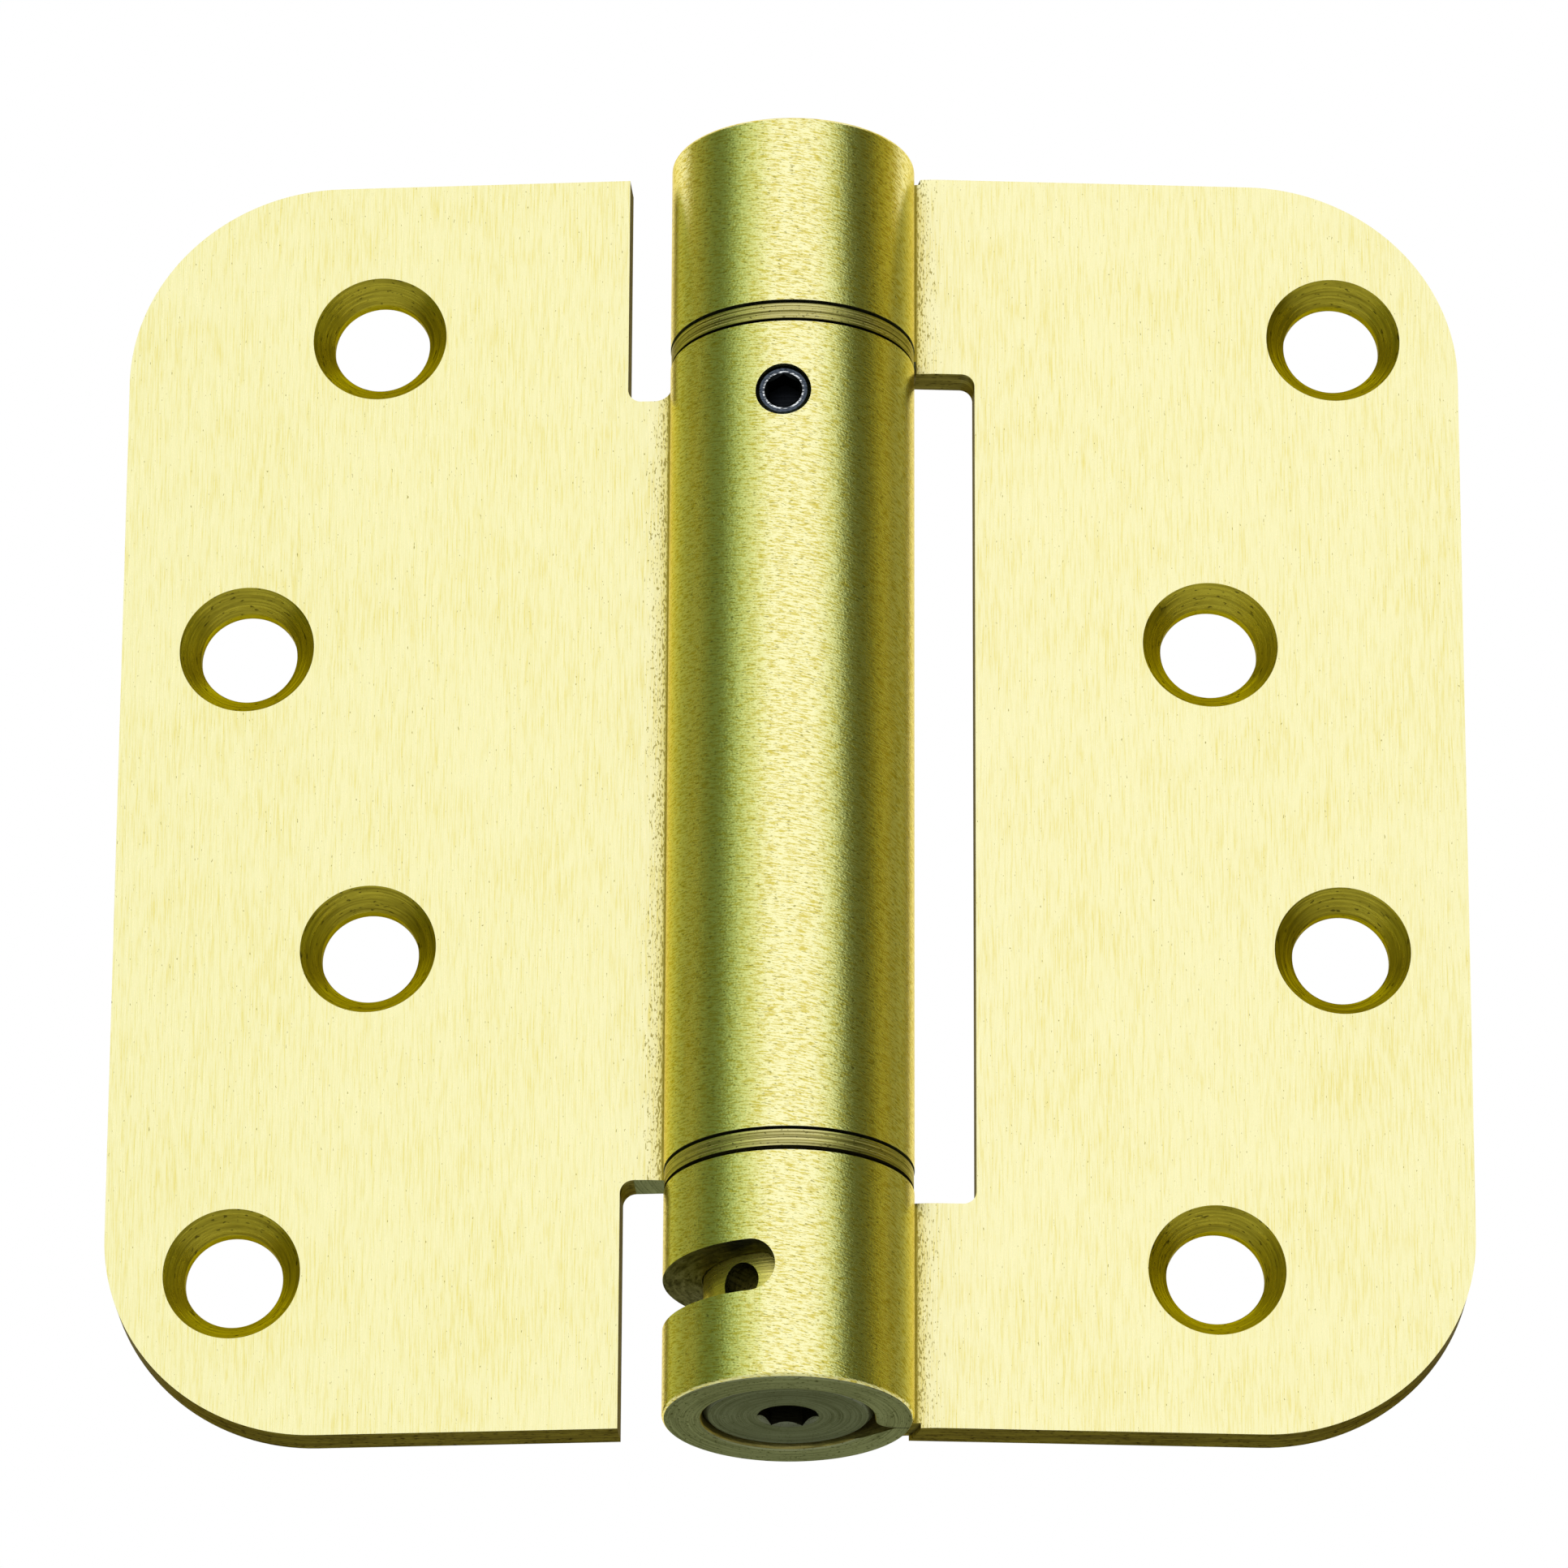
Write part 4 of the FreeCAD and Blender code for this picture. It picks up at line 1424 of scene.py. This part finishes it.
@dataclass(frozen=True)
class WirePath:
    """Tree of Geometry Nodes that lays a round wire along a helix, with or without tangs."""

    name: str
    sides: int
    sizes: tuple[str, ...] = (
        "Radius", "Wire", "First Turn", "Turns", "Low", "High", "Tang", "Low Tangs", "High Tangs"
    )

    def tree(self, material: bpy.types.Material) -> bpy.types.NodeTree:
        """Builds the tree.

        Args:
            material: The wire's material.

        Returns:
            A tree with inputs for the helix, for its two tangs and for its steps.
        """
        tree = bpy.data.node_groups.new(self.name, "GeometryNodeTree")
        side = tree.interface.new_socket
        side("Geometry", in_out="INPUT", socket_type="NodeSocketGeometry")
        for name in self.sizes:
            side(name, in_out="INPUT", socket_type="NodeSocketFloat")
        side("Steps", in_out="INPUT", socket_type="NodeSocketInt")
        side("Geometry", in_out="OUTPUT", socket_type="NodeSocketGeometry")
        nodes = Nodes(tree)
        given = nodes.add("NodeGroupInput").outputs
        number = nodes.add("GeometryNodeInputIndex").outputs[0]
        last = nodes.math("SUBTRACT", given["Steps"], 1.0)
        tangs = nodes.math("ADD", given["Low Tangs"], given["High Tangs"])
        passed = nodes.math("SUBTRACT", number, given["Low Tangs"])
        share = nodes.span(passed, 0.0, nodes.math("SUBTRACT", last, tangs), 0.0, 1.0)
        tolerance = 0.1
        at_start = nodes.math("COMPARE", number, 0.0, tolerance)
        at_end = nodes.math("COMPARE", number, last, tolerance)
        low_tang = nodes.math("MULTIPLY", at_start, given["Low Tangs"])
        high_tang = nodes.math("MULTIPLY", at_end, given["High Tangs"])
        at_tang = nodes.math("ADD", low_tang, high_tang)
        turns = nodes.math("ADD", given["First Turn"], nodes.math("MULTIPLY", share, given["Turns"]))
        turn = nodes.math("MULTIPLY", turns, -2 * math.pi)
        turn = nodes.math("ADD", turn, nodes.math("MULTIPLY", at_tang, math.pi))
        inward = nodes.math("SUBTRACT", given["Radius"], given["Tang"])
        reach = nodes.math("SUBTRACT", given["Radius"], nodes.math("MULTIPLY", at_tang, inward))
        rise = nodes.math("MULTIPLY", share, nodes.math("SUBTRACT", given["High"], given["Low"]))
        place = nodes.add(
            "ShaderNodeCombineXYZ",
            {
                "X": nodes.math("MULTIPLY", reach, nodes.math("COSINE", turn)),
                "Y": nodes.math("MULTIPLY", reach, nodes.math("SINE", turn)),
                "Z": nodes.math("ADD", given["Low"], rise),
            },
        )
        row = nodes.add("GeometryNodeMeshLine", {"Count": given["Steps"]})
        route = {"Geometry": row.outputs[0], "Position": place.outputs[0]}
        bent = nodes.add("GeometryNodeSetPosition", route)
        path = nodes.add("GeometryNodeMeshToCurve", {"Mesh": bent.outputs[0]})
        round_wire = nodes.add("GeometryNodeCurvePrimitiveCircle", {"Resolution": self.sides})
        nodes.feed(round_wire.inputs["Radius"], given["Wire"])
        solid = nodes.add(
            "GeometryNodeCurveToMesh",
            {"Curve": path.outputs[0], "Profile Curve": round_wire.outputs[0], "Fill Caps": True},
        )
        real = nodes.add("GeometryNodeRealizeInstances", {"Geometry": solid.outputs[0]})
        coat = {"Geometry": real.outputs[0], "Material": material}
        painted = nodes.add("GeometryNodeSetMaterial", coat)
        nodes.add("NodeGroupOutput", {0: painted.outputs[0]})
        return tree

    def lay(
        self, name: str, material: bpy.types.Material, sizes: dict[str, float | int]
    ) -> bpy.types.Object:
        """Lays a wire and turns it into a plain mesh.

        Args:
            name: The object's name.
            material: The wire's material.
            sizes: Value of each of the tree's inputs by its name.

        Returns:
            The object, in millimetres.
        """
        made = new_object(name, bpy.data.meshes.new(name))
        modifier = made.modifiers.new("wire", "NODES")
        modifier.node_group = self.tree(material)
        for item in modifier.node_group.interface.items_tree:
            if item.item_type == "SOCKET" and item.in_out == "INPUT" and item.name in sizes:
                modifier[item.identifier] = sizes[item.name]
        bake_modifiers(made)
        return made


@dataclass
class TorsionSpring:
    """Left-hand coil in the centre barrel with both ends bent in across the axis.

    It is laid in two lengths that meet face to face, the lower one and the upper one, each baked
    in place and put on no body.
    """

    stack: Stack
    finishes: Finishes
    wire: float = 1.15
    coil: float = 4.75
    low: float = -25.5
    high: float = 19.8
    turns: float = 17.5
    lower_turns: float = 9.0
    tang: float = 3.0
    steps_per_turn: int = 40
    sides: int = 16

    def length(self, name: str, first: float, turns: float, body: Body, below: Body) -> None:
        """Lays one length of the wire and puts it in the frame.

        Args:
            name: The piece's name.
            first: How many turns lie below it.
            turns: How many turns it has.
            body: The body named for its upper end; the piece is not put on it.
            below: The body named for its lower end; the piece is not put on it.
        """
        rise = (self.high - self.low) / self.turns
        low = self.low + first * rise
        high = low + turns * rise
        is_lowest, is_highest = first == 0, first + turns == self.turns
        # One point more closes the last turn and one is the tang.
        steps = round(turns * self.steps_per_turn) + 2
        sizes = {
            "Radius": self.coil,
            "Wire": self.wire,
            "First Turn": first,
            "Turns": turns,
            "Low": low,
            "High": high,
            "Tang": self.tang,
            "Low Tangs": float(is_lowest),
            "High Tangs": float(is_highest),
            "Steps": steps,
        }
        look = self.finishes.spring
        made = WirePath(name, self.sides).lay(name, look.material(), sizes)
        move_mesh(made, Matrix.Identity(4))
        dress(made, [look])
        twist = (below, low + self.wire, high - self.wire)
        keep(made, body, Slot.SPRING_STEEL, "torsion_spring", twist=twist)

    def build(self) -> None:
        """Makes the lower and the upper length."""
        upper_turns = self.turns - self.lower_turns
        self.length("spring_lower_coil", 0.0, self.lower_turns, Body.FRAME_LEAF, Body.ADJUSTER)
        self.length("spring_upper_coil", self.lower_turns, upper_turns, Body.DOOR_LEAF, Body.FRAME_LEAF)


@dataclass
class SetScrew:
    """Cup-point socket screw, drawn on Z and turned to point out of the centre barrel."""

    stack: Stack
    finishes: Finishes
    radius: float = 2.08
    core: float = 1.86
    recess: float = 0.25
    length: float = 4.4
    tip_break: float = 0.3
    end_break: float = 0.28
    collar: Point = (0.3, 0.1)
    socket: float = 2.4
    socket_depth: float = 2.0
    lead: float = 0.05
    worn_and_highlight_rim: float = 0.13
    cup: tuple[float, float] = (1.1, 0.6)
    pitch: float = 0.79
    plain: float = 1.2
    thread_ends: Point = (0.5, 0.4)
    thread_sunk: Point = (0.02, 0.03)
    thread_sides: int = 6
    thread_steps: int = 190
    steps: int = 96

    @property
    def mouth(self) -> float:
        """Radius of the socket's mouth, outside its lead."""
        return hexagon_reach(self.socket) + self.lead

    def pick(self, centre: Vector, normal: Vector) -> Finish:
        """Chooses the screw's finish, its worn rim with painted highlight, or painted shadow in the socket.
        """
        f = self.finishes
        outer = self.stack.barrel - self.recess
        reach = math.hypot(centre.x, centre.y)
        if reach < self.mouth and centre.z > outer - self.socket_depth - NEAR:
            return f.screw_socket
        on_rim = reach < self.mouth + self.worn_and_highlight_rim and centre.z > outer - CLOSE
        return f.screw_rim if on_rim else f.screw

    def build(self) -> None:
        """Makes the screw and puts it in the frame."""
        s, f = self.stack, self.finishes
        outer = s.barrel - self.recess
        inner = outer - self.length
        cup_radius, cup_depth = self.cup
        foot, shoulder = self.collar
        thread_low, thread_high = self.thread_ends
        lift, inset = self.thread_sunk
        outline = [
            (0, inner + cup_depth),
            (cup_radius, inner),
            (self.core - self.tip_break, inner),
            (self.core, inner + self.tip_break),
            (self.core, outer - self.end_break - foot),
            (self.radius, outer - self.end_break - shoulder),
            (self.radius, outer - self.end_break),
            (self.radius - self.end_break, outer),
            (self.mouth + self.worn_and_highlight_rim, outer),
            (0, outer),
        ]
        made = turned("set_screw", outline, self.steps)
        above = outer + MARGIN
        key = prism("key", hexagon(self.socket), outer - self.socket_depth, above)
        cone = [(0, outer - self.mouth), (self.mouth + MARGIN, above), (0, above)]
        lead = turned("lead", cone, self.steps)
        boolean(made, [key, lead], "DIFFERENCE")
        sizes = {
            "Radius": self.core + lift,
            "Wire": self.radius - self.core - inset,
            "Turns": (self.length - self.plain) / self.pitch,
            "Low": inner + thread_low,
            "High": outer - self.end_break - thread_high,
            "Steps": self.thread_steps,
        }
        thread = WirePath("screw_thread", self.thread_sides).lay("thread", f.screw.material(), sizes)
        join_into(made, thread)
        dress(made, [f.screw, f.screw_rim, f.screw_socket], self.pick)
        made.data.transform(Matrix.Scale(1 / MM, 4))
        point_outward(made, -90, s.screw_z)
        move_mesh(made, s.left_place())
        made.data.transform(Matrix.Scale(MM, 4))
        keep(made, Body.DOOR_LEAF, Slot.BLACK_OXIDE, "anchor_set_screw")


def join_into(target: bpy.types.Object, other: bpy.types.Object) -> None:
    """Adds another object's mesh to a target and deletes the other.

    Args:
        target: The object that grows.
        other: The object that is taken in.
    """
    shape = bmesh.new()
    shape.from_mesh(target.data)
    shape.from_mesh(other.data)
    shape.to_mesh(target.data)
    shape.free()
    bpy.data.objects.remove(other)


@dataclass
class TopPlug:
    """Plug that closes the upper knuckle, with facing marks from the lathe."""

    stack: Stack
    finishes: Finishes
    recess: float = 0.3
    thickness: float = 2.4
    rim: float = 0.3
    rim_round: float = 0.12
    centre_mark: tuple[float, float] = (0.5, 0.2)
    steps: int = 144

    def build(self) -> None:
        """Makes the plug and puts it in the frame."""
        s = self.stack
        radius = s.bore - s.fit
        top = s.half_height - self.recess
        low = top - self.thickness
        mark, depth = self.centre_mark
        outline = [
            (0, low),
            (radius - self.rim, low),
            (radius, low + self.rim),
            (radius, top - self.rim),
            (radius - self.rim, top),
            (mark, top),
            (0, top - depth),
        ]
        outline = rounded(outline, dict.fromkeys((3, 4), self.rim_round), 3)
        made = turned("top_plug_brass", outline, self.steps)
        dress(made, [self.finishes.plug_end])
        keep(made, Body.FRAME_LEAF, Slot.SATIN_BRASS, "top_plug")


@dataclass(frozen=True)
class HiddenPieces:
    """Frame nodes that keep their shape and get a finish."""

    finishes: Finishes

    def build(self, nodes: dict[str, bpy.types.Object]) -> None:
        """Gives each of them its material.

        Args:
            nodes: The frame's objects by name.
        """
        for name, look in (
            ("upper_pivot", self.finishes.bright_steel),
            ("spring_anchor", self.finishes.bright_steel),
            ("adjuster_clip", self.finishes.dark_steel),
        ):
            mesh = nodes[name].data
            mesh.materials.clear()
            mesh.materials.append(look.material())
            LOG.info("%s keeps its shape, finished as %s", name, look.name)


@dataclass(frozen=True)
class Card:
    """A glowing card beside the set that the barrel's sides mirror.

    Its stops are azimuths from the front, in degrees, with the card's colour there.
    """

    side: int
    stops: tuple[tuple[float, Colour], ...]
    distance: float = 1500.0
    low: float = -580.0
    high: float = 2300.0
    back: float = 1.01
    steps: int = 24

    @property
    def name(self) -> str:
        """The card's name, by its side."""
        return "left_card" if self.side < 0 else "right_card"

    def material(self) -> bpy.types.Material:
        """Card colour by azimuth, white at its front edge."""
        made = bpy.data.materials.new(self.name)
        nodes = Nodes.fresh(made)
        split = nodes.add("ShaderNodeSeparateXYZ", {0: nodes.add("ShaderNodeTexCoord").outputs["Object"]})
        x = nodes.math("MULTIPLY", split.outputs[0], float(self.side))
        azimuth = nodes.math("ARCTAN2", x, nodes.math("MULTIPLY", split.outputs[1], -1.0))
        first, last = self.stops[0][0], self.stops[-1][0]
        share = nodes.span(azimuth, math.radians(first), math.radians(last), 0.0, 1.0)
        colour = nodes.ramp(share, [((turn - first) / (last - first), shade) for turn, shade in self.stops])
        nodes.surface(nodes.add("ShaderNodeEmission", {"Color": colour, "Strength": 1.0}))
        return made

    def build(self) -> None:
        """Hangs the card out of the camera's sight."""
        first, last = self.stops[0][0], self.stops[-1][0]
        near = []
        for step in range(self.steps + 1):
            x, y = polar(self.distance, first + (last - first) * step / self.steps - 90)
            near.append((x * self.side, y) if self.side > 0 else (-x, y))
        far = [(x * self.back, y * self.back) for x, y in reversed(near)]
        card = prism(self.name, near + far, self.low, self.high)
        card.data.materials.append(self.material())
        card.data.transform(Matrix.Scale(MM, 4))
        card.visible_camera = False
        card.visible_shadow = False


@dataclass
class Studio:
    """White set, soft light and the camera of the photograph."""

    camera_azimuth: float = -2.63
    camera_elevation: float = 23.25
    camera_distance: float = 850.0
    camera_aim: tuple[float, float, float] = (-0.505, 0.0, -0.3)
    camera_roll: float = 0.26
    lens: float = 261.2
    world_light: float = 0.9
    floor_drop: float = 600.0
    floor_thickness: float = 10.0
    floor_size: float = 6000.0
    floor_colour: Colour = (0.9, 0.9, 0.9)
    left_card: Card = Card(
        -1,
        (
            (22.0, (1.0, 1.0, 1.0)),
            (32.0, (0.85, 0.88, 0.65)),
            (41.0, (0.69, 0.75, 0.45)),
            (49.0, (0.56, 0.65, 0.35)),
            (57.0, (0.36, 0.46, 0.2)),
            (65.0, (0.18, 0.24, 0.08)),
            (73.0, (0.11, 0.15, 0.045)),
            (84.0, (0.115, 0.15, 0.04)),
            (96.0, (0.2, 0.22, 0.055)),
            (124.0, (0.42, 0.38, 0.07)),
        ),
    )
    right_card: Card = Card(
        1,
        (
            (22.0, (1.0, 1.0, 1.0)),
            (31.0, (0.84, 0.87, 0.67)),
            (38.0, (0.72, 0.77, 0.5)),
            (42.0, (0.54, 0.6, 0.34)),
            (47.0, (0.19, 0.24, 0.09)),
            (53.0, (0.08, 0.096, 0.026)),
            (67.0, (0.075, 0.083, 0.02)),
            (77.0, (0.11, 0.11, 0.022)),
            (90.0, (0.3, 0.26, 0.03)),
            (118.0, (0.5, 0.42, 0.05)),
        ),
    )

    def world(self) -> None:
        """White background that metal shows as well."""
        world = bpy.data.worlds.new("white_set")
        nodes = Nodes.fresh(world)
        path = nodes.add("ShaderNodeLightPath")
        seen = nodes.math("MAXIMUM", path.outputs["Is Camera Ray"], path.outputs["Is Glossy Ray"])
        seen = nodes.math("MAXIMUM", seen, path.outputs["Is Transmission Ray"])
        light = self.world_light
        strength = nodes.math("ADD", nodes.math("MULTIPLY", seen, 1 - light), light)
        glow = nodes.add("ShaderNodeBackground", {"Color": (1.0, 1.0, 1.0, 1.0), "Strength": strength})
        nodes.add("ShaderNodeOutputWorld", {"Surface": glow.outputs[0]})
        bpy.context.scene.world = world

    def floor(self) -> None:
        """Pale floor below the hinge."""
        half = self.floor_size / 2
        square = [(-half, -half), (half, -half), (half, half), (-half, half)]
        floor = prism("studio_floor", square, -self.floor_drop - self.floor_thickness, -self.floor_drop)
        pale = bpy.data.materials.new("pale_floor")
        nodes = Nodes.fresh(pale)
        looks = {"Base Color": (*self.floor_colour, 1.0), "Roughness": 0.9, "Specular IOR Level": 0.1}
        nodes.surface(nodes.add("ShaderNodeBsdfPrincipled", looks))
        floor.data.materials.append(pale)
        floor.data.transform(Matrix.Scale(MM, 4))

    def camera(self) -> None:
        """Camera in front of and below the hinge."""
        data = bpy.data.cameras.new("photo_camera")
        data.lens = self.lens
        data.sensor_width = 36.0
        data.clip_start = 0.01
        data.clip_end = 50.0
        made = new_object("photo_camera", data)
        turn, rise = math.radians(self.camera_azimuth), math.radians(self.camera_elevation)
        away = Vector((math.cos(rise) * math.sin(turn), -math.cos(rise) * math.cos(turn), -math.sin(rise)))
        aim = Vector(self.camera_aim)
        looking = away.to_track_quat("Z", "Y").to_matrix().to_4x4()
        rolled = looking @ Matrix.Rotation(math.radians(self.camera_roll), 4, "Z")
        made.matrix_world = Matrix.Translation((aim + away * self.camera_distance) * MM) @ rolled
        bpy.context.scene.camera = made

    def build(self) -> None:
        """Sets up the world, the floor, the cards and the camera."""
        bpy.context.scene.view_settings.view_transform = "Standard"
        self.world()
        self.floor()
        self.left_card.build()
        self.right_card.build()
        self.camera()


def main() -> None:
    """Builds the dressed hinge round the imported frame."""
    logging.basicConfig(level=logging.INFO, format="%(name)s: %(message)s")
    for made in list(bpy.data.objects):
        bpy.data.objects.remove(made)
    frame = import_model()
    finishes = Finishes()
    stack = Stack()
    for assembly in (RightLeaf, LeftLeaf, Rings, TensionAdjuster, TorsionSpring, SetScrew, TopPlug):
        assembly(stack, finishes).build()
    HiddenPieces(finishes).build(frame["nodes"])
    Studio().build()


if __name__ == "__main__":
    main()
